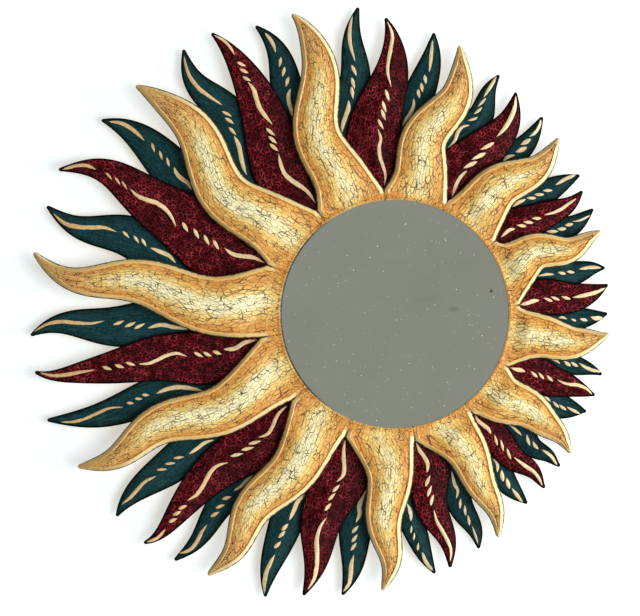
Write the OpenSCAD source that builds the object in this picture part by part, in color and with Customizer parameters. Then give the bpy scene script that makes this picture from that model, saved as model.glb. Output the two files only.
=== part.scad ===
// Wooden sun mirror for a wall.
// Twelve carved gold rays make a ring round a round glass that sits off centre.
// Maroon and green leaves are glued in two layers behind the gold rays, and a
// plywood ring behind them ties everything together and carries the hanger.
// The front faces -Y, +Z is up and the wall is on the +Y side.
// The origin is the centre of the circle through all the tips, on the plane
// where the gold wood meets the maroon leaves. Angles run counterclockwise as
// seen from the front, and 0 points right.

/* [Sun] */
// Radius of the circle that touches every tip
tip_r = 319; // [308:1:330]
// Distance of the glass centre to the right of the tip circle's centre
glass_x = 81; // [74:1:86]
// Height of the glass centre above the tip circle's centre
glass_z = -12; // [-17:1:-7]

/* [Opening and glass] */
// Radius of the round opening in the gold ring
opening_r = 125; // [121:0.5:127]
// Width of the step that the glass rests on
rebate_w = 6.5; // [5:0.25:7]
// Width of the plain lip round the opening
lip_w = 4; // [3:0.25:5]
// Height of that lip above the glue plane
lip_h = 12.5; // [12:0.25:13.5]
// Depth of the hollow between the lip and the rays
lip_hollow = 1; // [0.5:0.25:1.5]
// Thickness of the mirror glass
glass_t = 3; // [2:0.5:4]
// Thickness of the hardboard behind the glass
board_t = 3; // [2:0.5:4]
// Gap round the edge of the glass and the hardboard
glass_gap = 0.5; // [0.3:0.1:1]

/* [Gold rays] */
// Height of a gold ray's side wall
gold_edge_h = 9; // [8:0.5:10]
// Height of the smooth rim that follows each edge
gold_rim_h = 15; // [14:0.25:16]
// Width of the rim's outward slope
gold_rim_w = 4.75; // [4:0.25:8]
// Width of the inward step from the rim to the panel
gold_step_w = 1.5; // [1:0.25:3]
// Height of the panel beside the rim
gold_panel_h = 13.5; // [12.5:0.25:14]
// Height of the panel along the middle of the ray
gold_crown_h = 19.5; // [17:0.5:22]
// Width of a gold ray's blunt tip
gold_tip_w = 4.5; // [2.5:0.25:5]
// Gap at the glue joint between two gold rays
joint_gap = 0.1; // [0.05:0.05:0.3]

/* [Leaves] */
// Thickness of a leaf along its ridge
leaf_t = 7; // [6:0.25:8]
// Thickness of a leaf at its edges
leaf_edge_t = 3.25; // [3:0.25:5]
// Width of a leaf's blunt tip
leaf_tip_w = 2.5; // [2:0.25:4]
// Width of a maroon leaf's glued end
maroon_root_w = 24; // [18:1:28]
// Width of a green leaf's glued end
green_root_w = 24; // [18:1:26]
// Gap between the rebate and the maroon leaves
maroon_root_gap = 2.5; // [1.5:0.25:4]

/* [Backing] */
// Diameter of the washers that hold the hardboard
washer_d = 16; // [12:0.5:18]
// Thickness of those washers
washer_t = 1.2; // [0.8:0.1:1.6]
// How far a washer reaches over the hardboard
washer_grip = 3; // [2:0.25:4]
// Number of washers
washer_count = 6; // [3,4,6,12]
// Shank diameter of the small wood screws
screw_d = 3; // [2.5:0.25:3.5]
// Head diameter of the small wood screws
screw_head_d = 6.5; // [6:0.25:7.5]
// Head height of the small wood screws
screw_head_h = 2; // [1.5:0.25:2.2]
// Length of a backing screw's shank
backing_screw_l = 9; // [7:0.5:10]

/* [Plywood ring] */
// Gap between the washers and the plywood ring
ply_gap = 2; // [1:0.5:4]
// Width of the plywood ring
ply_w = 46; // [44:1:50]
// Thickness of the plywood ring
ply_t = 8; // [7:0.5:10]
// Distance from the ring's inner edge to its row of screws
ply_screw_in = 12; // [10:0.5:13]
// Length of a ring screw's shank
ply_screw_l = 12; // [11:0.5:13]

/* [Hanger] */
// Distance of the hanger to the left of the glass centre
hanger_left = 48; // [46:0.5:54]
// Distance of the hanger's hinge below the plywood ring's outer edge
hanger_drop = 5; // [4:0.5:6]
// Width of the hanger strap
strap_w = 12; // [10:0.5:14]
// Thickness of the hanger strap
strap_t = 1; // [0.8:0.1:1.2]
// Gap between the hanging ring and the upper strap screw's head
ring_gap = 2.75; // [2:0.25:3.5]
// Distance of the lower strap screw from the strap's end
strap_end_in = 5.5; // [5:0.25:6]
// Distance between the two strap screws
strap_hole_pitch = 10; // [9:0.5:11]
// Clearance round a screw in the strap, the washers and the plywood
hole_gap = 0.2; // [0.1:0.05:0.4]
// Clearance round a screw in its pilot hole
pilot_gap = 0.05; // [0.05:0.05:0.1]
// Length of a strap screw's shank
strap_screw_l = 8; // [6:0.5:8]
// Thickness of the hanger ring's wire
wire_d = 2.5; // [2:0.1:3]
// Gap between the wire and the rolled end of the strap
hinge_gap = 0.2; // [0.15:0.05:0.3]
// Inner width of the hanger ring
ring_in_w = 18; // [17:0.5:20]
// Inner height of the hanger ring, from the middle of its bar
ring_in_h = 15; // [14:0.5:16]
// Radius of the ring's two corners, at the middle of the wire
ring_corner_r = 2.5; // [2.25:0.25:4]

/* [Bumpers] */
// Diameter of a felt bumper
bumper_d = 18; // [14:1:20]
// Thickness of a felt bumper
bumper_t = 4.5; // [4.2:0.1:6]
// Distance of the bumpers from the plywood ring's outer edge
bumper_in = 16; // [14:0.5:18]

/* [Hidden] */

// Curves are drawn fine
$fn = 96;

// Scale of the lengths in the tables below, which are drawn for a tip circle of 319
drawn = tip_r / 319;

// The valleys where two gold rays meet, counterclockwise from the top:
// angle round the glass centre, and distance from the opening's edge
VALLEYS = [
    [95, 12], [127, 17], [159, 25], [190, 25], [220, 23], [248, 20],
    [279, 16], [308, 14], [335, 13], [364, 12], [396, 12], [425, 12]
];

// Gold ray n stands between valley n and the next one: tip angle, tip beyond the
// tip circle, width, fullness, sway to the left at 1/5, 2/5, 3/5 and 4/5 of its length
// and the further sway of its hooked tip
GOLD = [
    [95.3, -0.5, 51, 4, [7, 14, -1, -5.5, -6]],
    [130.2, -5.5, 56, 3.6, [10.5, 16.5, -3, -7, -3]],
    [170.5, -1, 62, 2.4, [15.5, 10, 6.5, 16, 2]],
    [214.2, 4, 53, 3.2, [11.5, 9.5, -2, 8.5, -1]],
    [247.7, 3.5, 53, 2.8, [8.5, 6, -1.5, 9.5, -3]],
    [282.4, 2, 46, 3, [9.5, 6, 2.5, 8.5, 0]],
    [307.5, 4, 45, 2.3, [9.5, 10, 8, 9, 0]],
    [329.3, 0, 49, 2.2, [1.5, 8.5, 8.5, 7.5, 0]],
    [353.6, -2, 46, 3.3, [0.5, -3, -7, -3.5, -2]],
    [14.3, -1, 40, 2.7, [6, 7, -3, -3.5, 0]],
    [34.5, -2.5, 53.5, 2.3, [5, 6, -4, -7, 0]],
    [61.4, 3, 52, 3, [3.5, 8.5, -6, -8, -2.5]]
];

// Maroon leaf n comes out of valley n: tip angle, tip beyond the circle, width,
// fullness, sway
MAROON = [
    [77, 2, 65.5, 2.2, [10.5, 10, -1, -5.5, -3]],
    [111.9, 0.5, 69, 2, [12, 5, -4, -5, -3]],
    [152.8, 4, 80, 1.9, [9.5, -2.5, -10, -18, -1]],
    [193.8, 4, 66.5, 1.8, [14.5, 6, 3, -1.5, 9.5]],
    [233.8, 8.5, 61.5, 2, [8.5, 0, -6.5, -7, 9]],
    [266.7, 2.5, 63, 2.1, [8.5, 1, -1.5, 3.5, 0]],
    [296.2, 4, 48, 2.1, [7.5, 0.5, -1, 4.5, 0]],
    [320.5, -0.5, 35, 2.8, [0, -0.5, -1, 6, -3]],
    [341.4, -2, 43.5, 2.4, [4.5, 1, 0.5, 1, 0]],
    [3.5, -3.5, 42.5, 3, [4.5, 0, -4.5, -4.5, 0]],
    [23, -7, 42, 2.4, [4.5, 0, -2.5, -5, 0]],
    [47, -4, 54.5, 2.6, [7.5, 1, -7.5, -9.5, 0]]
];

// Green leaves, counterclockwise from the top: tip angle, tip beyond the circle,
// angle of the glued end round the glass centre, width, fullness, sway
GREEN = [
    [82.9, 8.5, 103, 41, 3.4, [14.5, 15, 5.5, 7, 0]],
    [103, -6, 117.5, 44, 3.7, [8, 5, 0, -7, -2]],
    [118.6, -2, 137, 50, 3.6, [16, 12, -2.5, 7, 0]],
    [140, -5, 148.5, 56, 3.8, [7, 7, 2, -4.5, -3]],
    [160.7, 0.5, 167, 63, 2.7, [10.5, 13.5, 0.5, 8, 0]],
    [186.2, 2, 184, 57, 3.2, [8, -5.5, -2.5, -5, -5]],
    [203.3, 8.5, 202.5, 48.5, 3, [8.5, 2, 4, 8, 0]],
    [226.1, 5.5, 214.5, 49.5, 3.9, [0.5, -7.5, -6.5, -5, -4]],
    [240.5, 6.5, 228.5, 37, 3.5, [1, 4.5, -3.5, 2.5, 0]],
    [259.2, 9.5, 243, 43, 3.7, [-3.5, -10, -9, -6, -2]],
    [274.4, 3, 260.5, 43, 3.3, [4.5, 1.5, 0, 4, 0]],
    [292.8, 3.5, 273.5, 32, 4, [-3, -11, -10, -6.5, 0]],
    [302.9, 2, 290, 32.5, 3.9, [-1, -1, -3.5, 1.5, 0]],
    [315.8, -3, 304.5, 32, 4.1, [-0.5, -1, -4, -4, 0]],
    [325.7, -1, 316, 28, 3.6, [-1, 4, -2, 2.5, -3]],
    [337.7, -4, 330.5, 40, 3.4, [-2, -1.5, -4.5, -4, 0]],
    [345.8, -0.5, 344, 33, 2.6, [-2.5, 2, 1.5, 1.5, 0]],
    [357.8, -4, 359, 34, 3, [-1, -4.5, -4.5, -3, 0]],
    [7.1, -4.5, 14.5, 34, 3.2, [1.5, 2, -0.5, 1, 0]],
    [18.9, -2.5, 28, 35, 3, [2.5, 1, -4, -4.5, 0]],
    [26.3, -2, 42, 35, 3.5, [3.5, 3.5, 2.5, 2, 0]],
    [39.9, -1, 54.5, 34.5, 3.2, [1, 3.5, -1.5, -4, 0]],
    [52, -1, 72.5, 41, 2.8, [7, 6, -5, -1, 0]],
    [67.2, 3, 87.5, 39, 4.2, [5.5, 3.5, 0.5, -3, 0]]
];

// Layers, from front to back along Y
rebate_y = -(glass_t + board_t);
maroon_back = leaf_t;
green_back = 2 * leaf_t;
ply_back = green_back + ply_t;
wall_y = ply_back + bumper_t;

// Radii round the glass centre
glass_c = [glass_x, glass_z];
rebate_r = opening_r + rebate_w;
board_r = rebate_r - glass_gap;
washer_c_r = board_r - washer_grip + washer_d / 2;
maroon_root_r = rebate_r + maroon_root_gap;
ply_in_r = washer_c_r + washer_d / 2 + ply_gap;
ply_out_r = ply_in_r + ply_w;
ply_screw_r = ply_in_r + ply_screw_in;
green_root_r = ply_in_r + 2;
bumper_r = ply_out_r - bumper_in;

// Hanger, with its hinge on the plywood ring's back
hinge_bore_r = wire_d / 2 + hinge_gap;
hinge_r = hinge_bore_r + strap_t;
hinge_x = glass_x - hanger_left;
hinge_y = ply_back + hinge_r;
hinge_z = glass_z + sqrt(ply_out_r * ply_out_r - hanger_left * hanger_left) - hanger_drop;
strap_hole_top = ring_in_h + wire_d + ring_gap + screw_head_d / 2;
strap_l = strap_hole_top + strap_hole_pitch + strap_end_in;
ring_half_w = (ring_in_w + wire_d) / 2;
ring_bow_z = ring_half_w - ring_in_h - wire_d / 2;

BUMPER_ANGLES = [35, 150, 232, 322];

// Share of a ray's length over which its relief rises out of the gold ring
relief_rise = 0.16;
// Height of a tip as a share of the height further in
tip_share = 0.62;
// Length in millimetres between two cross sections
gold_pitch = 11;
leaf_pitch = 11;

function on_circle(c, r, a) = [c[0] + r * cos(a), c[1] + r * sin(a)];
function mix(a, b, t) = a + (b - a) * t;
function ease(t) = let (c = max(0, min(1, t))) c * c * (3 - 2 * c);
function turn(from, to) = (to - from + 540) % 360 - 180;
function heading(v) = atan2(v[1], v[0]);

// Four sine weights that carry the sway through its four stations, and the hook's
// weight, which makes the hook as wide as it is given
function sway_sines(s) =
    concat([for (k = [1:4]) 0.4 * (s[0] * sin(36 * k) + s[1] * sin(72 * k)
                                   + s[2] * sin(108 * k) + s[3] * sin(144 * k))],
           s[4] * 7 * pow(7 / 6, 6));
function hook(t) = pow(max(0, t), 6) * (1 - t);
function hook_slope(t) = pow(t, 5) * (6 - 7 * t);
function sway(q, t) =
    q[0] * sin(180 * t) + q[1] * sin(360 * t) + q[2] * sin(540 * t) + q[3] * sin(720 * t)
    + q[4] * hook(t);
function sway_slope(q, t) =
    PI * (q[0] * cos(180 * t) + 2 * q[1] * cos(360 * t) + 3 * q[2] * cos(540 * t)
          + 4 * q[3] * cos(720 * t)) + q[4] * hook_slope(t);

// A ray's middle line from its root to its tip, and its direction there
function spine_point(root, tip, q, t) =
    let (along = tip - root, side = [-along[1], along[0]] / norm(along))
    root + along * t + side * sway(q, t);
function spine_heading(root, tip, q, t) =
    heading(tip - root) + atan2(sway_slope(q, t), norm(tip - root));

// A full ray keeps its width further out than a slender one
function taper(t, fullness) = 1 - pow(max(0, t), fullness);
function tip_point(ray) = on_circle([0, 0], tip_r + drawn * ray[1], ray[0]);

// Closed skin over cross sections that all have the same number of points
module loft(sections) {
    rows = len(sections);
    n = len(sections[0]);
    points = [for (s = sections) for (p = s) p];
    sides = [for (j = [0:rows - 2]) for (k = [0:n - 1])
        let (a = j * n + k, b = j * n + (k + 1) % n)
        each [[a, b, b + n], [a, b + n, a + n]]];
    first = [for (k = [1:n - 2]) [0, k + 1, k]];
    last = [for (k = [1:n - 2]) [0, k, k + 1] + [1, 1, 1] * (rows - 1) * n];
    polyhedron(points = points, faces = concat(sides, first, last), convexity = 6);
}

// A row of points across a ray: places run from -1 on the right edge to 1 on
// the left edge, and heights rise towards the viewer from the back plane
function across(middle, direction, width, places, heights, back) =
    let (d = [cos(direction), sin(direction)] * width / 2)
    concat(
        [[middle[0] - d[0], back, middle[1] - d[1]]],
        [for (k = [0:len(places) - 1])
            [middle[0] + d[0] * places[k], back - heights[k], middle[1] + d[1] * places[k]]],
        [[middle[0] + d[0], back, middle[1] + d[1]]]);

// The same row bent round the opening, from one glue joint to the other
function across_ring(r, a0, a1, places, heights) =
    let (c = glass_c, n = len(places) - 1, half = (a1 - a0) / 2, mid = (a0 + a1) / 2)
    concat(
        [[c[0] + r * cos(a0), 0, c[1] + r * sin(a0)]],
        [for (k = [0:n])
            let (p = on_circle(c, r, mid + half * places[k]))
            [p[0], -heights[k], p[1]]],
        [[c[0] + r * cos(a1), 0, c[1] + r * sin(a1)]]);

// Places of the rim, the panel's edge and the panel's crown across a gold ray
function gold_places(width) =
    let (rim = min(2 * gold_rim_w / width, 0.56),
         panel = min(2 * (gold_rim_w + gold_step_w) / width, 0.74))
    [-1, rim - 1, panel - 1, (panel - 1) / 2, 0, (1 - panel) / 2, 1 - panel, 1 - rim, 1];

// Heights at those places, with a low root and a thin tip
function gold_heights(t, full) =
    let (up = ease(t / relief_rise), thin = mix(1, tip_share, pow(t, 4)),
         edge = gold_edge_h * thin,
         rim = mix(lip_h, gold_rim_h, up) * thin,
         panel = mix(lip_h - lip_hollow, gold_panel_h, up) * thin,
         crown = panel + (gold_crown_h - gold_panel_h) * up * full * thin,
         flank = mix(panel, crown, 0.72))
    [edge, rim, panel, flank, crown, flank, panel, rim, edge];

function valley_r(n) = opening_r + drawn * VALLEYS[n % 12][1];
function valley(n) = on_circle(glass_c, valley_r(n), VALLEYS[n % 12][0]);

// Half of the glue joint's gap, as an angle at the opening
joint_a = joint_gap / 2 / opening_r * 180 / PI;

module gold_ray(n) {
    ray = GOLD[n];
    a0 = VALLEYS[n][0] + joint_a;
    a1 = VALLEYS[(n + 1) % 12][0] + (n == 11 ? 360 : 0) - joint_a;
    right = on_circle(glass_c, valley_r(n), a0);
    left = on_circle(glass_c, valley_r(n + 1), a1);
    root = (left + right) / 2;
    root_w = norm(left - right);
    root_dir = heading(left - right);
    tip = tip_point(ray);
    full_w = drawn * ray[2];
    q = sway_sines(drawn * ray[4]);
    steps = round(norm(tip - root) / gold_pitch);
    flat = [for (k = [0:8]) 1];
    ring_places = gold_places(root_w);
    ring_rows = [
        across_ring(opening_r - 2, a0, a1, ring_places, flat * (lip_h - lip_hollow)),
        across_ring(opening_r + lip_w / 2, a0, a1, ring_places, flat * lip_h),
        across_ring(opening_r + lip_w, a0, a1, ring_places, flat * (lip_h - lip_hollow))
    ];
    ray_rows = [for (j = [0:steps])
        let (t = j / steps,
             body = mix(gold_tip_w, full_w, taper(t, ray[3])),
             width = body + (root_w - full_w) * exp(-5 * t) * (1 - t),
             dir = spine_heading(root, tip, q, t) + 90,
             eased = dir + turn(dir, root_dir) * pow(1 - t, 6))
        across(spine_point(root, tip, q, t), eased, width, gold_places(width),
               gold_heights(t, min(1, width / full_w)), 0)];
    difference() {
        loft(concat(ring_rows, ray_rows));
        at_glass(0, 0) disc(opening_r, -40, 1);
        at_glass(0, 0) disc(rebate_r, rebate_y, 1);
        if (n % (12 / washer_count) == 0) at_glass(washer_c_r, gold_middle(n))
            pilot_hole(washer_t - backing_screw_l, 1);
    }
}

// Heights across a leaf: flat at the glued end, then ridged
function leaf_heights(t, land) =
    let (carve = ease((t - land) / 0.12), thin = mix(1, tip_share, pow(max(0, t), 4)),
         edge = mix(leaf_t, leaf_edge_t, carve) * thin,
         ridge = leaf_t * thin)
    [edge, mix(edge, ridge, 0.55), ridge, mix(edge, ridge, 0.55), edge];

// A leaf from its root to its tip; it may start a little before the root, and it
// reaches its full width at full_at
module leaf(root, tip, root_w, width, fullness, s, start, full_at, land, back) {
    q = sway_sines(s);
    steps = round(norm(tip - root) / leaf_pitch);
    places = [-1, -0.5, 0, 0.5, 1];
    loft([for (j = [0:steps])
        let (t = mix(start, 1, j / steps),
             body = mix(root_w, width, ease(t / full_at)),
             w = mix(leaf_tip_w, body, taper(t, fullness)),
             dir = spine_heading(root, tip, q, max(0, t)) + 90)
        across(spine_point(root, tip, q, t), dir, w, places, leaf_heights(t, land), back)]);
}

module maroon_ray(n) {
    ray = MAROON[n];
    root = valley(n);
    tip = tip_point(ray);
    start = (maroon_root_r - valley_r(n)) / norm(tip - root);
    leaf(root, tip, maroon_root_w, drawn * ray[2], ray[3], drawn * ray[4], start,
         0.3, 0.04, maroon_back);
}

module green_ray(n) {
    ray = GREEN[n];
    root = on_circle(glass_c, green_root_r, ray[2]);
    tip = tip_point(ray);
    land = ply_w / norm(tip - root);
    difference() {
        leaf(root, tip, green_root_w, drawn * ray[3], ray[4], drawn * ray[5], 0,
             0.5, land, green_back);
        at_glass(ply_screw_r, ray[2]) pilot_hole(ply_back - ply_screw_l, green_back + 1);
    }
}

// A disc that lies between two planes along Y
module disc(r, y0, y1) {
    translate([0, y1, 0]) rotate([90, 0, 0]) cylinder(r = r, h = y1 - y0);
}

// Hole that a small screw's shank bites into, a little deeper than its end
module pilot_hole(screw_end, y) {
    disc(screw_d / 2 + pilot_gap, screw_end - 0.5, y);
}

module clear_hole(y0, y1) {
    disc(screw_d / 2 + hole_gap, y0, y1);
}

module at_glass(r, a) {
    translate([glass_x + r * cos(a), 0, glass_z + r * sin(a)]) children();
}

// Angle of the middle of gold ray n round the glass centre
function gold_middle(n) =
    (VALLEYS[n][0] + VALLEYS[(n + 1) % 12][0] + (n == 11 ? 360 : 0)) / 2;

module mirror_glass() color("#8A8E84")
    at_glass(0, 0) disc(board_r, rebate_y, rebate_y + glass_t);

module backing_board() color("#7A5636")
    at_glass(0, 0) disc(board_r, rebate_y + glass_t, 0);

module backing_washers() color("#B9BCBE")
    for (n = [0:12 / washer_count:11]) at_glass(washer_c_r, gold_middle(n))
        difference() {
            disc(washer_d / 2, 0, washer_t);
            clear_hole(-1, washer_t + 1);
        }

// Pan head screw whose head sits on the plane y, with its shank towards -Y
module pan_screw(y, l) {
    disc(screw_d / 2, y - l, y);
    disc(screw_head_d / 2, y, y + screw_head_h);
}

module backing_screws() color("#B9BCBE")
    for (n = [0:12 / washer_count:11]) at_glass(washer_c_r, gold_middle(n))
        pan_screw(washer_t, backing_screw_l);

module plywood_ring() color("#C9A36B")
    difference() {
        at_glass(0, 0) disc(ply_out_r, green_back, ply_back);
        at_glass(0, 0) disc(ply_in_r, green_back - 1, ply_back + 1);
        for (g = GREEN) at_glass(ply_screw_r, g[2]) clear_hole(green_back - 1, ply_back + 1);
        at_strap_holes() pilot_hole(strap_t - hinge_r - strap_screw_l, 0);
    }

module ring_screws() color("#B9BCBE")
    for (g = GREEN) at_glass(ply_screw_r, g[2])
        pan_screw(ply_back, ply_screw_l);

// Places things at the hinge of the hanger
module at_hinge() {
    translate([hinge_x, hinge_y, hinge_z]) children();
}

module at_strap_holes() {
    at_hinge() for (k = [0, 1])
        translate([0, 0, -strap_hole_top - k * strap_hole_pitch]) children();
}

module hanger_strap() color("#C0C2C4")
    difference() {
        at_hinge() {
            rotate([0, 90, 0]) cylinder(r = hinge_r, h = strap_w, center = true);
            translate([-strap_w / 2, -hinge_r, strap_w / 2 - strap_l])
                cube([strap_w, strap_t, strap_l - strap_w / 2 - 0.8]);
            translate([0, 0, strap_w / 2 - strap_l]) disc(strap_w / 2, -hinge_r, strap_t - hinge_r);
        }
        at_hinge() rotate([0, 90, 0]) cylinder(r = hinge_bore_r, h = strap_w + 2, center = true);
        at_strap_holes() clear_hole(-hinge_r - 1, strap_t - hinge_r + 1);
    }

module hanger_screws() color("#B9BCBE")
    at_strap_holes() pan_screw(strap_t - hinge_r, strap_screw_l);

// Quarter or half turn of wire about Y, starting on +X
module wire_arc(r, from, angle) {
    rotate([90, 0, 0]) rotate([0, 0, from])
        rotate_extrude(angle = angle) translate([r, 0]) circle(d = wire_d);
}

// D shaped ring that hangs down from its bar
module hanger_ring() color("#C0C2C4")
    at_hinge() {
        bar = ring_half_w - ring_corner_r;
        rotate([0, 90, 0]) cylinder(d = wire_d, h = 2 * bar, center = true);
        for (side = [-1, 1]) {
            translate([side * ring_half_w, 0, ring_bow_z])
                cylinder(d = wire_d, h = -ring_bow_z - ring_corner_r);
            translate([side * bar, 0, -ring_corner_r])
                wire_arc(ring_corner_r, side > 0 ? 0 : 90, 90);
        }
        translate([0, 0, ring_bow_z]) wire_arc(ring_half_w, 180, 180);
    }

module felt_bumpers() color("#4A4038")
    for (a = BUMPER_ANGLES) at_glass(bumper_r, a) disc(bumper_d / 2, ply_back, wall_y);

module gold(n) color("#E3B160") gold_ray(n);
module maroon(n) color("#5A0F22") maroon_ray(n);
module green(n) color("#12414A") green_ray(n);

gold(0);  // gold_ray_01
gold(1);  // gold_ray_02
gold(2);  // gold_ray_03
gold(3);  // gold_ray_04
gold(4);  // gold_ray_05
gold(5);  // gold_ray_06
gold(6);  // gold_ray_07
gold(7);  // gold_ray_08
gold(8);  // gold_ray_09
gold(9);  // gold_ray_10
gold(10);  // gold_ray_11
gold(11);  // gold_ray_12
maroon(0);  // maroon_ray_01
maroon(1);  // maroon_ray_02
maroon(2);  // maroon_ray_03
maroon(3);  // maroon_ray_04
maroon(4);  // maroon_ray_05
maroon(5);  // maroon_ray_06
maroon(6);  // maroon_ray_07
maroon(7);  // maroon_ray_08
maroon(8);  // maroon_ray_09
maroon(9);  // maroon_ray_10
maroon(10);  // maroon_ray_11
maroon(11);  // maroon_ray_12
green(0);  // green_ray_01
green(1);  // green_ray_02
green(2);  // green_ray_03
green(3);  // green_ray_04
green(4);  // green_ray_05
green(5);  // green_ray_06
green(6);  // green_ray_07
green(7);  // green_ray_08
green(8);  // green_ray_09
green(9);  // green_ray_10
green(10);  // green_ray_11
green(11);  // green_ray_12
green(12);  // green_ray_13
green(13);  // green_ray_14
green(14);  // green_ray_15
green(15);  // green_ray_16
green(16);  // green_ray_17
green(17);  // green_ray_18
green(18);  // green_ray_19
green(19);  // green_ray_20
green(20);  // green_ray_21
green(21);  // green_ray_22
green(22);  // green_ray_23
green(23);  // green_ray_24
mirror_glass();
backing_board();
backing_washers();
backing_screws();
plywood_ring();
ring_screws();
hanger_strap();
hanger_ring();
hanger_screws();
felt_bumpers();
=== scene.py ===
import math
import bpy
import numpy as np
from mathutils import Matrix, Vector, noise


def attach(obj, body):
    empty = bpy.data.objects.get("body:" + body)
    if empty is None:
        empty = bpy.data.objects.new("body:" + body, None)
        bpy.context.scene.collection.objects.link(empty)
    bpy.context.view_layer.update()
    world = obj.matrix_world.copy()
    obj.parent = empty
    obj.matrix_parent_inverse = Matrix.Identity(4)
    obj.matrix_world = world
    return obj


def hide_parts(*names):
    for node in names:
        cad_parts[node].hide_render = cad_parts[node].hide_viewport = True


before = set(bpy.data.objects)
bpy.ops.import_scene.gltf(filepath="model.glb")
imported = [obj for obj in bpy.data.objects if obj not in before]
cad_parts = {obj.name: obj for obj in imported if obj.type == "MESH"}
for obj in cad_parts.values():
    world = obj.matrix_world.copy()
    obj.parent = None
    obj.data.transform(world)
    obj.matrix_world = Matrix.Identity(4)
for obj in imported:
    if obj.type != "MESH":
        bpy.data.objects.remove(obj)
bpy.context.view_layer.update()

# Sun wall mirror. The front faces -Y and +Z is up. Sizes and tables below are in
# millimetres and degrees, as in the CAD source, and meshes are written in metres.
MM = 0.001
TIP_R = 319.0
GLASS_C = np.array([81.0, -12.0])
OPENING_R, REBATE_R = 125.0, 131.5
LIP_W, LIP_H, LIP_HOLLOW = 4.0, 12.5, 1.0
REBATE_Y = -6.0
GOLD_EDGE_H, GOLD_RIM_H, GOLD_PANEL_H, GOLD_CROWN_H = 9.0, 15.0, 13.5, 19.5
GOLD_RIM_W, GOLD_STEP_W, GOLD_TIP_W = 4.75, 1.5, 6.0
JOINT_GAP = 0.1
RELIEF_RISE, TIP_SHARE = 0.16, 0.62
LEAF_T, LEAF_EDGE_T, LEAF_TIP_W, LEAF_ROOT_W = 7.0, 3.25, 4.4, 24.0
MAROON_ROOT_R, GREEN_ROOT_R = 134.0, 148.0
MAROON_BACK, GREEN_BACK, PLY_BACK, WALL_Y = 7.0, 14.0, 22.0, 26.5
PLY_W, PLY_SCREW_R, PLY_SCREW_L = 46.0, 158.0, 12.0
ROW_PITCH = 2.4

# How much shorter than the solids the rounded tips of the gold rays are
TIP_WEAR = (2.4, 3.1, 0.8, 4.0, 1.8, 1.0, 3.4, 2.1, 2.2, 4.2, 1.5, 3.6)

# Valleys between gold rays: angle round the glass centre, distance from the opening
VALLEYS = [
    (95, 12), (127, 17), (159, 25), (190, 25), (220, 23), (248, 20),
    (279, 16), (308, 14), (335, 13), (364, 12), (396, 12), (425, 12),
]
# Tip angle, tip beyond the tip circle, width, fullness, sway at four stations and
# the further sway of the hooked tip
GOLD = [
    (95.3, -0.5, 51, 4, (7, 14, -1, -5.5, -6)),
    (130.2, -5.5, 56, 3.6, (10.5, 16.5, -3, -7, -3)),
    (170.5, -1, 62, 2.4, (15.5, 10, 6.5, 16, 2)),
    (214.2, 4, 53, 3.2, (11.5, 9.5, -2, 8.5, -1)),
    (247.7, 3.5, 53, 2.8, (8.5, 6, -1.5, 9.5, -3)),
    (282.4, 2, 46, 3, (9.5, 6, 2.5, 8.5, 0)),
    (307.5, 4, 45, 2.3, (9.5, 10, 8, 9, 0)),
    (329.3, 0, 49, 2.2, (1.5, 8.5, 8.5, 7.5, 0)),
    (353.6, -2, 46, 3.3, (0.5, -3, -7, -3.5, -2)),
    (14.3, -1, 40, 2.7, (6, 7, -3, -3.5, 0)),
    (34.5, -2.5, 53.5, 2.3, (5, 6, -4, -7, 0)),
    (61.4, 3, 52, 3, (3.5, 8.5, -6, -8, -2.5)),
]
MAROON = [
    (77, 2, 65.5, 2.2, (10.5, 10, -1, -5.5, -3)),
    (111.9, 0.5, 69, 2, (12, 5, -4, -5, -3)),
    (152.8, 4, 80, 1.9, (9.5, -2.5, -10, -18, -1)),
    (193.8, 4, 66.5, 1.8, (14.5, 6, 3, -1.5, 9.5)),
    (233.8, 8.5, 61.5, 2, (8.5, 0, -6.5, -7, 9)),
    (266.7, 2.5, 63, 2.1, (8.5, 1, -1.5, 3.5, 0)),
    (296.2, 4, 48, 2.1, (7.5, 0.5, -1, 4.5, 0)),
    (320.5, -0.5, 35, 2.8, (0, -0.5, -1, 6, -3)),
    (341.4, -2, 43.5, 2.4, (4.5, 1, 0.5, 1, 0)),
    (3.5, -3.5, 42.5, 3, (4.5, 0, -4.5, -4.5, 0)),
    (23, -7, 42, 2.4, (4.5, 0, -2.5, -5, 0)),
    (47, -4, 54.5, 2.6, (7.5, 1, -7.5, -9.5, 0)),
]
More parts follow.
